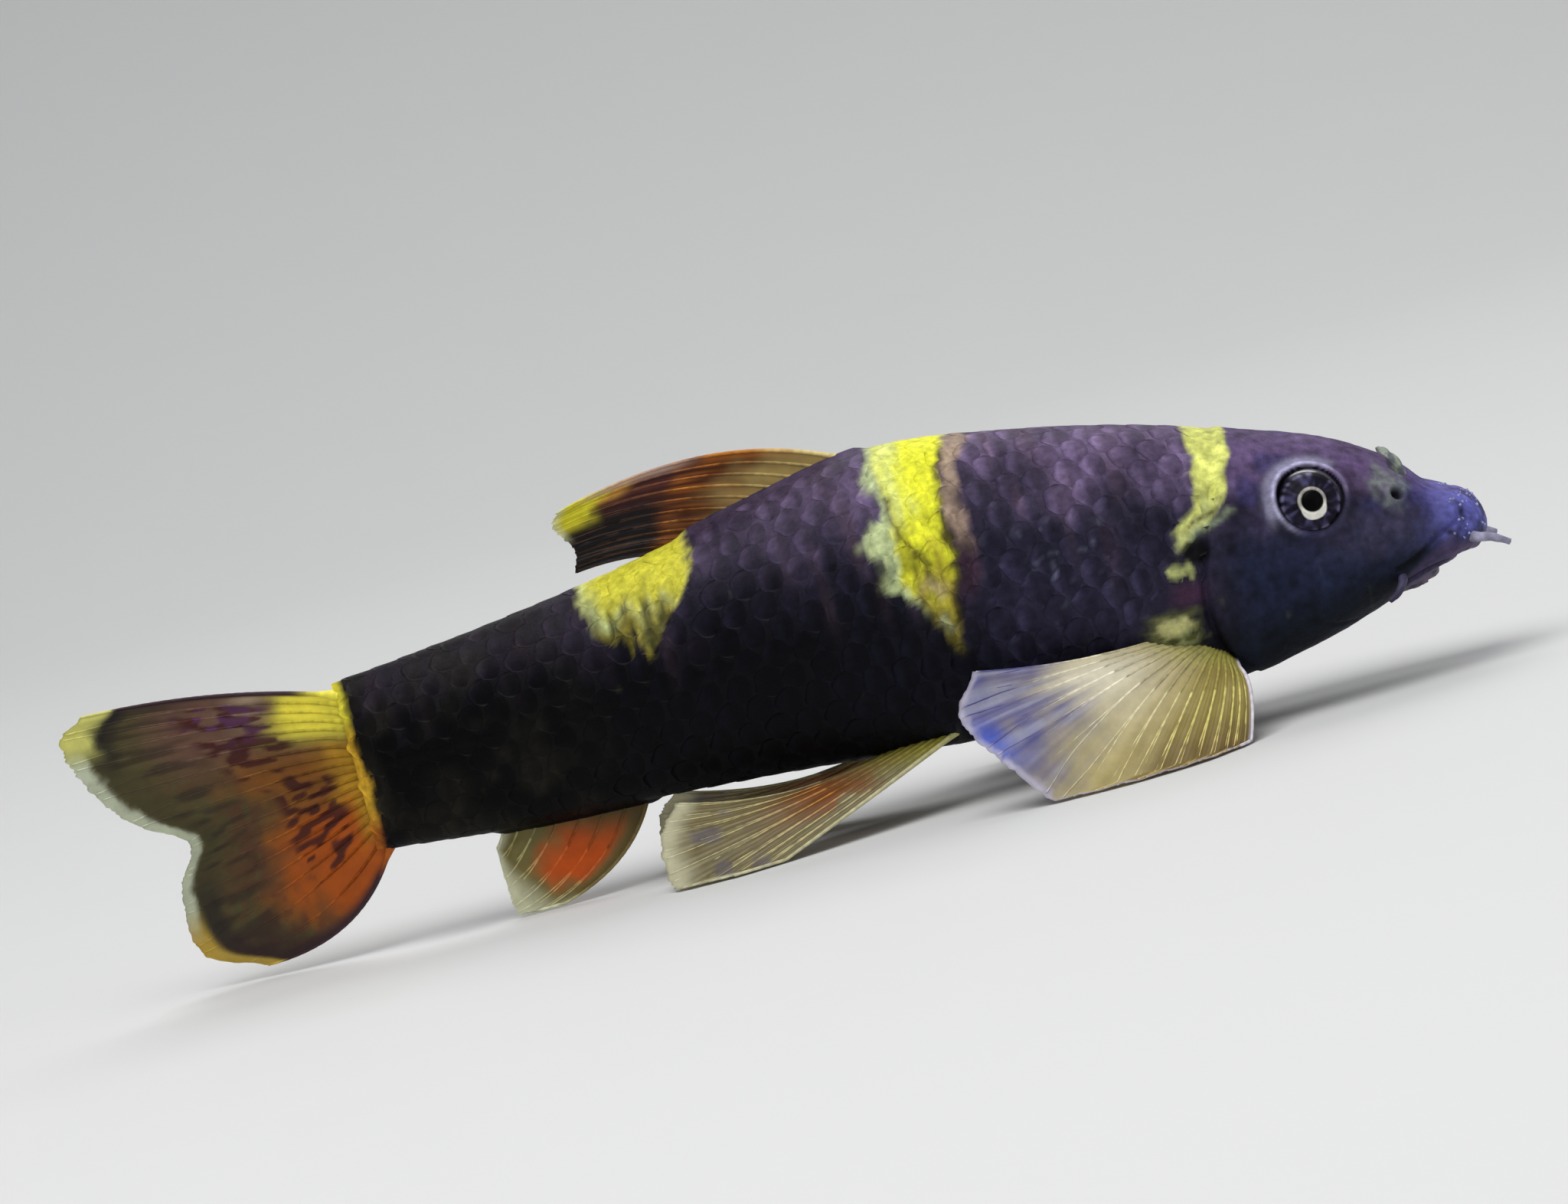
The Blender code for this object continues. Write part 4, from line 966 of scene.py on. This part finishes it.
def pelvicTone(across, along, n, fine, onRay):
    orange = hump(along - 0.44, 0.17) * smooth(0.15, 0.5, across + 0.25 * n) * smooth(1.05, 0.8, across)
    return coats(
        (0.56, 0.50, 0.24) if onRay else (0.20, 0.155, 0.070),
        ((0.50, 0.45, 0.24), 0.7 * rayBranches(across, 24, 0.8 * n) ** 3),
        ((0.72, 0.66, 0.12) if onRay else (0.42, 0.38, 0.07), smooth(0.38, 0.12, along)),
        ((0.52, 0.19, 0.03) if onRay else (0.26, 0.075, 0.012), 0.9 * orange),
        ((0.15, 0.13, 0.20), 0.5 * span(along, 0.72, 0.82, 0.88, 0.97) * smooth(0, 0.4, n)),
        ((0.74, 0.72, 0.50), 0.85 * smooth(0.88, 0.97, along + 0.02 * n)),
        ((0.60, 0.58, 0.36), 0.6 * smooth(0.05, 0.0, across)),
    )


def dorsalTone(across, along, n, fine, onRay):
    wisps = smooth(-0.3, 0.5, rayNoise(across, along, 40, 4, 47))
    front = smooth(0.46, 0.16, along + 0.08 * n) * smooth(0.80, 0.25, across)
    maroon = smooth(0.50, 0.62, along + 0.08 * n) * smooth(0.93, 0.82, along) * smooth(0.62, 0.30, across)
    ink = smooth(0.46, 0.66, along + 0.08 * n + 0.10 * across) * smooth(0.24, 0.48, across)
    amber = smooth(0.68, 0.78, along + 0.05 * n) * smooth(0.30, 0.16, across)
    tip = smooth(0.76, 0.88, along + 0.03 * fine - 0.10 * (across - 0.2)) * smooth(0.50, 0.32, across)
    return coats(
        (0.30, 0.095, 0.012) if onRay else (0.085, 0.019, 0.004),
        ((0.56, 0.20, 0.025) if onRay else (0.29, 0.085, 0.010), wisps),
        ((0.78, 0.62, 0.24) if onRay else (0.44, 0.31, 0.105), front),
        ((0.070, 0.018, 0.020) if onRay else (0.045, 0.009, 0.014), 0.85 * maroon),
        ("black", ink * (0.90 if onRay else 0.97)),
        ("black", 0.8 * smooth(0.88, 1.0, across)),
        ((0.66, 0.34, 0.05), 0.8 * amber),
        ((0.74, 0.68, 0.035), tip),
        ((0.56, 0.38, 0.30), 0.8 * smooth(0.13, 0.04, across) * span(along, 0.50, 0.66, 0.84, 0.96)),
        ((0.74, 0.74, 0.42), smooth(0.95, 0.995, along) * smooth(0.6, 0.4, across)),
    )


def analTone(across, along, n, fine, onRay):
    patch = smooth(0.14, 0.34, along) * smooth(0.80, 0.62, along + 0.08 * n)
    patch = patch * smooth(0.04, 0.16, across) * smooth(0.66, 0.44, across + 0.12 * n)
    pale = np.maximum(smooth(0.74, 0.97, along + 0.04 * n), 0.8 * smooth(0.88, 1.0, across))
    return coats(
        (0.50, 0.45, 0.19) if onRay else (0.24, 0.20, 0.065),
        ((0.10, 0.055, 0.012), 0.8 * smooth(0.34, 0.12, along)),
        ((0.72, 0.105, 0.004), patch * (0.85 + 0.15 * n)),
        ((0.15, 0.085, 0.02), 0.75 * smooth(0.12, 0.0, across) * smooth(0.9, 0.7, along)),
        ((0.74, 0.74, 0.52), pale),
    )


def caudalTone(across, along, n, fine, onRay):
    pink = smooth(0.46, 0.24, across + 0.04 * n) * smooth(0.84, 0.62, along)
    rusty = smooth(0.70, 0.46, along + 0.08 * n) * smooth(0.24, 0.42, across)
    red = smooth(0.72, 0.36, along + 0.08 * n) * smooth(0.56, 0.74, across + 0.04 * n)
    lowRoot = smooth(0.20, 0.10, along + 0.03 * n) * span(across, 0.56, 0.7, 0.85, 0.95)
    brown = hump(along - 0.66, 0.16) * smooth(0.30, 0.50, across + 0.10 * n) * smooth(-0.5, 0.4, n + fine)
    # maroon spots, long the way of the rays, on a slant from the upper middle to the lower base
    zone = hump(along - (0.50 - 0.26 * across), 0.16) * span(across, 0.02, 0.10, 0.84, 0.94)
    spots = rayNoise(across, along, 42, 17, 43, 0.4 * n) + 0.22 * (zone - 0.6)
    spots = smooth(0.0, 0.26, spots) * smooth(0.22, 0.6, zone)
    dashes = smooth(-0.2, 0.4, rayNoise(across, along, 52, 7, 45)) * span(along, 0.54, 0.70, 0.84, 0.92)
    # the dark line inside the pale edge
    inside = smooth(0.79, 0.87, along + 0.03 * n) * smooth(0.95, 0.91, along)
    crescent = np.maximum(smooth(0.30, 0.14, across), 0.7 * smooth(0.62, 0.80, across))
    dark = np.maximum(smooth(0.030, 0.0, across), smooth(0.970, 1.0, across))
    dark = dark * span(along, 0.10, 0.25, 0.8, 0.9)
    return coats(
        (0.076, 0.060, 0.022) if onRay else (0.104, 0.088, 0.030),
        ((0.190, 0.092, 0.066), 0.85 * pink),
        ((0.290, 0.100, 0.011), 0.88 * rusty),
        ((0.62, 0.34, 0.022), smooth(0.26, 0.12, along + 0.05 * n) * smooth(0.2, 0.4, across)),
        ((0.510, 0.105, 0.007), 0.92 * red),
        ((0.66, 0.40, 0.030), 0.85 * lowRoot),
        ((0.95, 0.85, 0.09), smooth(0.40, 0.24, along + 0.07 * n) * smooth(0.34, 0.20, across)),
        ((0.66, 0.52, 0.34), 0.5 * hump(along - 0.40, 0.06) * smooth(0.24, 0.10, across)),
        ((0.130, 0.046, 0.022), 0.7 * brown),
        ((0.066, 0.011, 0.009), 0.9 * spots),
        ((0.130, 0.040, 0.125), 0.8 * spots * smooth(0.30, 0.16, across) * smooth(0.0, 0.3, fine)),
        ((0.030, 0.020, 0.014), 0.6 * dashes),
        ((0.016, 0.012, 0.014), inside * (0.20 + 0.75 * crescent)),
        ((0.050, 0.022, 0.020), 0.75 * smooth(0.82, 0.94, across) * smooth(0.62, 0.78, along)),
        ((0.60, 0.64, 0.48), smooth(0.925, 0.955, along + 0.012 * fine)),
        ((0.70, 0.68, 0.20), smooth(0.86, 0.92, along + 0.02 * fine) * smooth(0.22, 0.12, across)),
        ((0.60, 0.42, 0.07), smooth(0.90, 0.94, along) * smooth(0.74, 0.86, across)),
        ((0.045, 0.022, 0.028), dark),
    )


finTones = {
    "pectoral": pectoralTone,
    "pelvic": pelvicTone,
    "dorsal": dorsalTone,
    "anal": analTone,
    "caudal": caudalTone,
}


def finTone(kind, across, along, points, onRay):
    return finTones[kind](across, along, noise(points, 1.1, 41), noise(points, 0.4, 42), onRay)


def membraneMesh(fin, side):
    gaps = fin["count"] - 1
    across = np.linspace(0, 1, gaps * 8 + 1)
    gap = (across * gaps) % 1  # 0 on a ray, a half midway to the next
    notch = 1 - finBuild["notch"] * np.sin(np.pi * gap) ** 0.8
    notch = notch * (1 + 0.004 * np.random.default_rng(5).uniform(-1, 1, len(across)))
    a, l = grid(across, np.linspace(0, 1, 72))
    l = l * np.minimum(notch, 1)[:, None]
    middle = finPoint(fin, a, l, side)
    turns = np.where(np.floor(across * gaps).astype(int) % 2, 1, -1)
    pleat = finBuild["pleat"] * (np.sin(np.pi * gap) ** 2 * turns)[:, None]
    pleat = pleat * smooth(0.05, 0.3, l) + 0.02 * noise(middle, 0.5, 44)
    edge = span(a, 0, 0.02, 0.98, 1) * smooth(1.0, 0.97, l / np.maximum(notch[:, None], 0.1))
    half = finBuild["membrane"] / 2 * (0.35 + 0.65 * edge) + fin["fleshyRoot"] * smooth(0.16, 0.0, l)
    normal = finNormal(fin, a, l, side)
    return a, l, [middle + (pleat + out)[..., None] * normal for out in (half, -half)]


# one branch of a ray: its number of rings, their points with the two end points, and a tone for each ring
def rayTube(fin, kind, side, at, spread, strong, luck):
    long = norm(np.diff(finPoint(fin, at, np.linspace(0, 1, 30), side), axis=0)).sum()
    steps = max(int(long / finBuild["step"]), 12)
    along = np.linspace(0.0, 0.995 if strong else 0.985, steps)
    fork = finBuild["fork"]
    bow = 0 * along if strong else 0.17 * smooth(fork, 1.0, along)
    if kind in ("caudal", "pectoral") and not strong:
        bow = bow + 0.13 * smooth(0.80, 1.0, along)
    where = np.clip(at + bow * spread / (fin["count"] - 1), 0, 1)
    centre = finPoint(fin, where, along, side)
    normal = finNormal(fin, where, along, side)
    cross = np.cross(unit(np.gradient(centre, axis=0)), normal)
    radius = finBuild["rayRoot"] + (finBuild["rayTip"] - finBuild["rayRoot"]) * along**0.7
    radius = radius * (1.35 if strong else 1 - 0.25 * smooth(fork, fork + 0.1, along))
    joints = np.where(np.arange(steps) % 3 == 0, 0.93, 1.03)
    radius = radius * (1 + (joints - 1) * smooth(0.25, 0.45, along))
    radius = radius + fin["fleshyRoot"] * smooth(0.16, 0.0, along)
    turn = fullTurn(finBuild["raySides"])[None, :, None]
    around = np.cos(turn) * normal[:, None] + 0.9 * np.sin(turn) * cross[:, None]
    ring = centre[:, None] + radius[:, None, None] * around
    tone = finTone(kind, where, along, centre, True) * (1 - 0.12 * (joints < 1) + 0.06 * luck)[:, None]
    return steps, np.vstack([ring.reshape(-1, 3), centre[[0, -1]]]), tone


def rayTubes(fin, kind, side):
    rng = np.random.default_rng(9)
    points, faces, tones, start = [], [], [], 0
    for k in range(fin["count"]):
        strong = k == 0 or (kind == "caudal" and k == fin["count"] - 1)
        for spread in (0,) if strong else (-1, 1):
            at, luck = k / (fin["count"] - 1), rng.uniform(-1, 1)
            steps, rings, tone = rayTube(fin, kind, side, at, spread, strong, luck)
            faces += cappedFaces(steps, finBuild["raySides"], start)
            tone = np.repeat(tone, finBuild["raySides"], axis=0)
            points.append(rings)
            tones.append(np.vstack([tone, tone[:1], tone[-1:]]))
            start += len(rings)
    return np.vstack(points), faces, np.vstack(tones)


def makeFin(name, kind, side):
    slotName, finish = ("pale_fin", "paleMembrane") if kind[0] == "p" else ("orange_fin", "orangeMembrane")
    a, l, sheets = membraneMesh(fins[kind], side)
    tone = finTone(kind, a, l, (sheets[0] + sheets[1]) / 2, False)
    faces = sheetFaces(*a.shape)
    makePiece(name + "_membrane", np.stack(sheets), faces, finish, np.stack([tone, tone]), (name,))
    points, faces, tones = rayTubes(fins[kind], kind, side)
    makePiece(name + "_rays", points, faces, "rayBone", tones, (name,))


sideNames = {1: "left", -1: "right"}
for kind in ("dorsal", "anal", "caudal"):
    makeFin(kind + "_fin", kind, 1)
for kind in ("pectoral", "pelvic"):
    for side, sideName in sideNames.items():
        makeFin(f"{kind}_fin_{sideName}", kind, side)
print("fins made")


def makeEye(side):
    name = "eye_" + sideNames[side]
    centre, _ = eyeSeat(side)
    gaze = unit(np.array(eye["gaze"]) * (1, -side, 1))
    across = unit(np.cross((0, 0, 1), gaze))
    tilt, turn = grid(np.pi * np.linspace(0, 1, eye["rings"]) ** 1.35, fullTurn(eye["around"]))
    direction = ballPoints(tilt, turn) @ np.stack([across, np.cross(gaze, across), gaze])
    flat = eye["radius"] * np.sin(tilt)  # millimetres from the gaze line
    ahead = np.cos(tilt) > 0
    below = np.sin(turn)
    pupil, inner, outer = eye["pupil"], eye["ringInner"], eye["ringOuter"]
    bulge = 0.10 * smooth(pupil + 0.04, pupil - 0.08, flat) + 0.05 * hump(flat - 0.84, 0.13)
    bulge = bulge - 0.16 * smooth(1.55, 1.2, flat)
    points = centre + (eye["radius"] - 0.10 + bulge * ahead)[..., None] * direction
    streak = 0.5 + 0.5 * noise(np.stack([np.cos(turn) * 6, below * 6, flat * 1.2], -1), 1.0, 51)
    # the pale ring round the pupil is the eye's own colour; below the pupil it widens into a white crescent
    # and the ring is brighter there, a painted highlight where the lens gathers light
    thick = outer + (eye["crescent"] - outer) * smooth(-0.30, -1.0, below)
    low = smooth(-0.25, -0.55, below) * smooth(thick + 0.03, thick - 0.03, flat)
    low = low * smooth(inner - 0.03, inner + 0.05, flat)
    ring = span(flat, inner - 0.05, inner + 0.03, outer - 0.05, outer + 0.05)
    tone = coats(
        (0.006, 0.005, 0.010),
        ((0.045, 0.040, 0.070), streak**2 * smooth(2.0, 1.2, flat)),
        ((0.085, 0.080, 0.190), 0.75 * smooth(0.45, 0.80, streak) * span(flat, 1.0, 1.3, 1.7, 2.0)),
        ((0.17, 0.16, 0.26), hump(flat - 1.72, 0.09) * smooth(0.35, 0.75, streak)),
        ((0.80, 0.76, 0.66), ring * (0.30 + 0.35 * streak + 0.35 * smooth(0.3, -0.5, below))),
        ((0.88, 0.86, 0.78), low),
        ((0.001, 0.001, 0.0015), smooth(pupil + 0.05, pupil, flat)),
    )
    tone = np.where(ahead[..., None], tone, 0.006)
    faces = gridFaces(*tilt.shape, closed=True)
    makePiece(name + "_ball", points, faces, "eyeBall", tone, (name,))
    keep = int((tilt[:, 0] < eye["corneaTilt"]).sum())
    shell = centre + (eye["radius"] + 0.02) * direction[:keep]
    faces = gridFaces(keep, eye["around"], closed=True)
    makePiece(name + "_cornea", shell, faces, "clearCornea", None, (name,))


for side in sideNames:
    makeEye(side)
print("eyes made")


def tube(path, radii, ripple=0.03):
    sides = 18
    path = np.array(path, float)
    fine = np.linspace(0, 1, 60)
    keys = np.column_stack([np.linspace(0, 1, len(path)), path])
    centre = np.stack([curveAt(keys, fine, c) for c in (1, 2, 3)], -1)
    cap = rounded(np.minimum(fine, 1 - fine), 0.02)
    radius = np.interp(fine, np.linspace(0, 1, len(radii)), radii) * cap
    tangent = unit(np.gradient(centre, axis=0))
    aside = unit(np.cross(tangent, (0.0, 0.1, 1.0)))
    turn = fullTurn(sides)[None, :, None]
    around = np.cos(turn) * aside[:, None] + np.sin(turn) * np.cross(aside, tangent)[:, None]
    points = centre[:, None] + radius[:, None, None] * around
    points = points + around * (ripple * noise(points, 0.35, 61) * cap[:, None])[..., None]
    return points, gridFaces(len(fine), sides, closed=True)


barbels = {
    "rostral": {
        "root": (1.25, 7.3),
        "steps": ((0.9, 0.10, -0.25), (1.8, 0.35, -0.75)),
        "radii": (0.34, 0.30, 0.25, 0.19),
        "tone": (0.30, 0.29, 0.40),
    },
    "maxillary": {
        "root": (5.9, 6.2),
        "steps": ((-0.45, 0.30, -0.55), (-1.15, 0.40, -0.95)),
        "radii": (0.30, 0.27, 0.22, 0.15),
        "tone": (0.05, 0.045, 0.09),
    },
}


def makeBarbel(kind, side):
    spec = barbels[kind]
    root, normal = flankPoint(*spec["root"], side)
    path = [root - 0.6 * normal, root + 0.1 * normal]
    path += [root + 0.25 * normal + np.array(step) * (1, side, 1) for step in spec["steps"]]
    points, faces = tube(path, spec["radii"])
    tone = spec["tone"] * (1 + 0.35 * noise(points, 0.4, 62))[..., None]
    name = f"{kind}_barbel_{sideNames[side]}"
    makePiece(name + "_flesh", points, faces, "softFlesh", tone, (name,))


flap = {"station": 4.4, "out": 2.2, "rise": 0.25, "size": (0.36, 0.62, 1.02), "back": 14.0, "outward": 20.0}


def makeFlap(side):
    root = middlePoint(np.array(flap["station"]), np.array(flap["out"] * side), True)
    ball, faces, _ = ballMesh(40, 48)
    lumps = 1 + 0.16 * noise(ball, 0.55, 71) + 0.07 * noise(ball, 0.25, 72)
    points = ball * lumps[..., None] * flap["size"]
    points[..., 0] -= 0.20 * np.maximum(points[..., 2], 0) ** 2
    turnBack = Matrix.Rotation(np.radians(-flap["back"]), 3, "Y")
    lean = Matrix.Rotation(np.radians(-flap["outward"] * side), 3, "X")
    points = points @ np.array(turnBack @ lean).T + root + (0, 0, flap["rise"])
    tone = blend((0.12, 0.13, 0.15), (0.32, 0.37, 0.29), smooth(-0.4, 0.4, noise(points, 0.4, 73)))
    makePiece("nasal_flap_" + sideNames[side], points, faces, "softFlesh", tone)


lips = {
    "upper_lip": {"setback": -0.35, "out": -0.26, "half": 3.5, "radii": (0.18, 0.34, 0.4, 0.4, 0.34, 0.18)},
    "lower_lip": {"setback": 1.15, "out": -0.30, "half": 3.0, "radii": (0.15, 0.32, 0.4, 0.4, 0.32, 0.15)},
}


def makeLip(name, spec):
    points, faces = tube(mouthPath(spec["setback"], spec["out"], spec["half"]), spec["radii"], ripple=0.025)
    tone = blend((0.030, 0.022, 0.050), (0.11, 0.075, 0.17), 0.5 + 0.5 * noise(points, 0.4, 63))
    makePiece(name, points, faces, "softFlesh", tone)


mouthDisc = {"station": 5.3, "sunk": 0.52, "size": (1.9, 1.9, 0.80), "groove": 0.72}


def makeDisc():
    centre = middlePoint(np.array(mouthDisc["station"]), np.array(0.0), False) + (0, 0, mouthDisc["sunk"])
    ball, faces, tilt = ballMesh(40, 64)
    bumps = 1 + 0.05 * noise(ball * 3, 0.35, 64) - 0.16 * hump(np.sin(tilt) - mouthDisc["groove"], 0.08)
    points = ball * bumps[..., None] * mouthDisc["size"] + centre
    tone = blend((0.05, 0.04, 0.07), (0.16, 0.12, 0.18), 0.5 + 0.5 * noise(points, 0.35, 65))
    makePiece("mouth_disc", points, faces, "softFlesh", tone)


tubercles = {"count": 70, "size": (0.085, 0.085, 0.13), "sunk": 0.03, "tone": (0.62, 0.66, 1.0)}


def makeTubercles():
    rng = np.random.default_rng(23)
    points, faces, tones = [], [], []
    ball, cap, _ = ballMesh(6, 10, np.pi * 0.6)
    local = ball.reshape(-1, 3) * tubercles["size"]
    for k in range(tubercles["count"]):
        station = rng.uniform(0.35, 2.4)
        angle = np.pi / 2 + rng.uniform(-1.85, 1.85)
        centre, normal = bodyPoint(station, angle), bodyNormal(station, angle)
        centre = centre + (relief(np.array([station]), centre[None])[0] - tubercles["sunk"]) * normal
        aside = unit(np.cross(normal, (0.0, 0.6, 0.8)))
        axes = np.stack([aside, np.cross(normal, aside), normal])
        points.append(local * rng.uniform(0.55, 1.1) @ axes + centre)
        faces.append(cap + k * len(local))
        tones.append(np.full((len(local), 3), rng.uniform(0.35, 0.65)) * tubercles["tone"])
    tones = np.vstack(tones)
    makePiece("snout_tubercles", np.vstack(points), np.vstack(faces), "softFlesh", tones)


for kind in barbels:
    for side in sideNames:
        makeBarbel(kind, side)
for side in sideNames:
    makeFlap(side)
for name, spec in lips.items():
    makeLip(name, spec)
makeDisc()
makeTubercles()
print("head details made")

stage = {
    "floorHalf": 1.6,
    "front": -1.2,
    "sweepStart": 0.30,  # metres behind the fish
    "sweepRadius": 0.45,
    "sweepHeight": 1.2,
    "tone": (0.72, 0.72, 0.71),
}


def makeStage():
    start, radius = stage["sweepStart"], stage["sweepRadius"]
    bend = np.linspace(0, np.pi / 2, 24)[1:]
    profile = [(stage["front"], 0.0), (start, 0.0)]
    profile += [(start + radius * np.sin(t), radius * (1 - np.cos(t))) for t in bend]
    profile.append((start + radius, stage["sweepHeight"]))
    points = [(x, y, z) for y, z in profile for x in (-stage["floorHalf"], stage["floorHalf"])]
    mesh = bpy.data.meshes.new("floor")
    mesh.from_pydata(points, [], gridFaces(len(profile), 2)[:, ::-1].tolist())
    mesh.shade_smooth()
    floor = bpy.data.objects.new("floor", mesh)
    bpy.context.scene.collection.objects.link(floor)
    material, tree, shader = newMaterial("paleFloor")
    rough = mapRange(tree, addNoise(tree, 9.0, 3.0), 0.3, 0.7, 0.62, 0.72)
    setInputs(tree, shader, {"Roughness": rough, "Base Color": (*stage["tone"], 1)})
    mesh.materials.append(material)


makeStage()
lights = (  # name, place, aimed at, size, power
    ("key", (-0.08, -0.20, 0.48), (0, 0, 0.01), 0.42, 2.3),
    ("fill", (0.36, -0.42, 0.22), (0, 0, 0.01), 0.50, 0.40),
    ("rim", (0.05, 0.30, 0.40), (0, 0, 0.012), 0.34, 0.7),
)
for name, place, aim, size, power in lights:
    data = bpy.data.lights.new(name, "AREA")
    data.size = size
    data.energy = power
    lamp = bpy.data.objects.new(name, data)
    lamp.location = place
    lamp.rotation_euler = (Vector(aim) - Vector(place)).to_track_quat("-Z", "Y").to_euler()
    bpy.context.scene.collection.objects.link(lamp)
world = bpy.data.worlds.new("studio")
world.use_nodes = True
sky = world.node_tree.nodes["Background"]
setInputs(world.node_tree, sky, {"Color": (0.86, 0.89, 0.95, 1), "Strength": 0.25})
bpy.context.scene.world = world

camera = {
    "distance": 0.45,
    "down": 5.0,
    "roll": 15.3,
    "sensor": 36,
    "wide": 2048 / 22.7,  # millimetres across the frame
    "aim": (19.70, 0.0, 13.8),
}


def makeCamera():
    data = bpy.data.cameras.new("camera")
    data.sensor_width = camera["sensor"]
    data.lens = camera["sensor"] * camera["distance"] * 1000 / camera["wide"]
    data.clip_start = 0.01
    lens = bpy.data.objects.new("camera", data)
    down, roll = np.radians(camera["down"]), np.radians(camera["roll"])
    forward = np.array([0, np.cos(down), -np.sin(down)])
    flatRight, flatUp = np.array([1.0, 0, 0]), np.array([0, np.sin(down), np.cos(down)])
    right = flatRight * np.cos(roll) - flatUp * np.sin(roll)
    up = flatRight * np.sin(roll) + flatUp * np.cos(roll)
    place = (np.array(camera["aim"]) + shift) * mm - forward * camera["distance"]
    turn = Matrix([[right[i], up[i], -forward[i]] for i in range(3)])
    lens.matrix_world = Matrix.Translation(Vector(place)) @ turn.to_4x4()
    bpy.context.scene.collection.objects.link(lens)
    bpy.context.scene.camera = lens


makeCamera()
bpy.context.scene.view_settings.view_transform = "Standard"
print("stage and camera set")
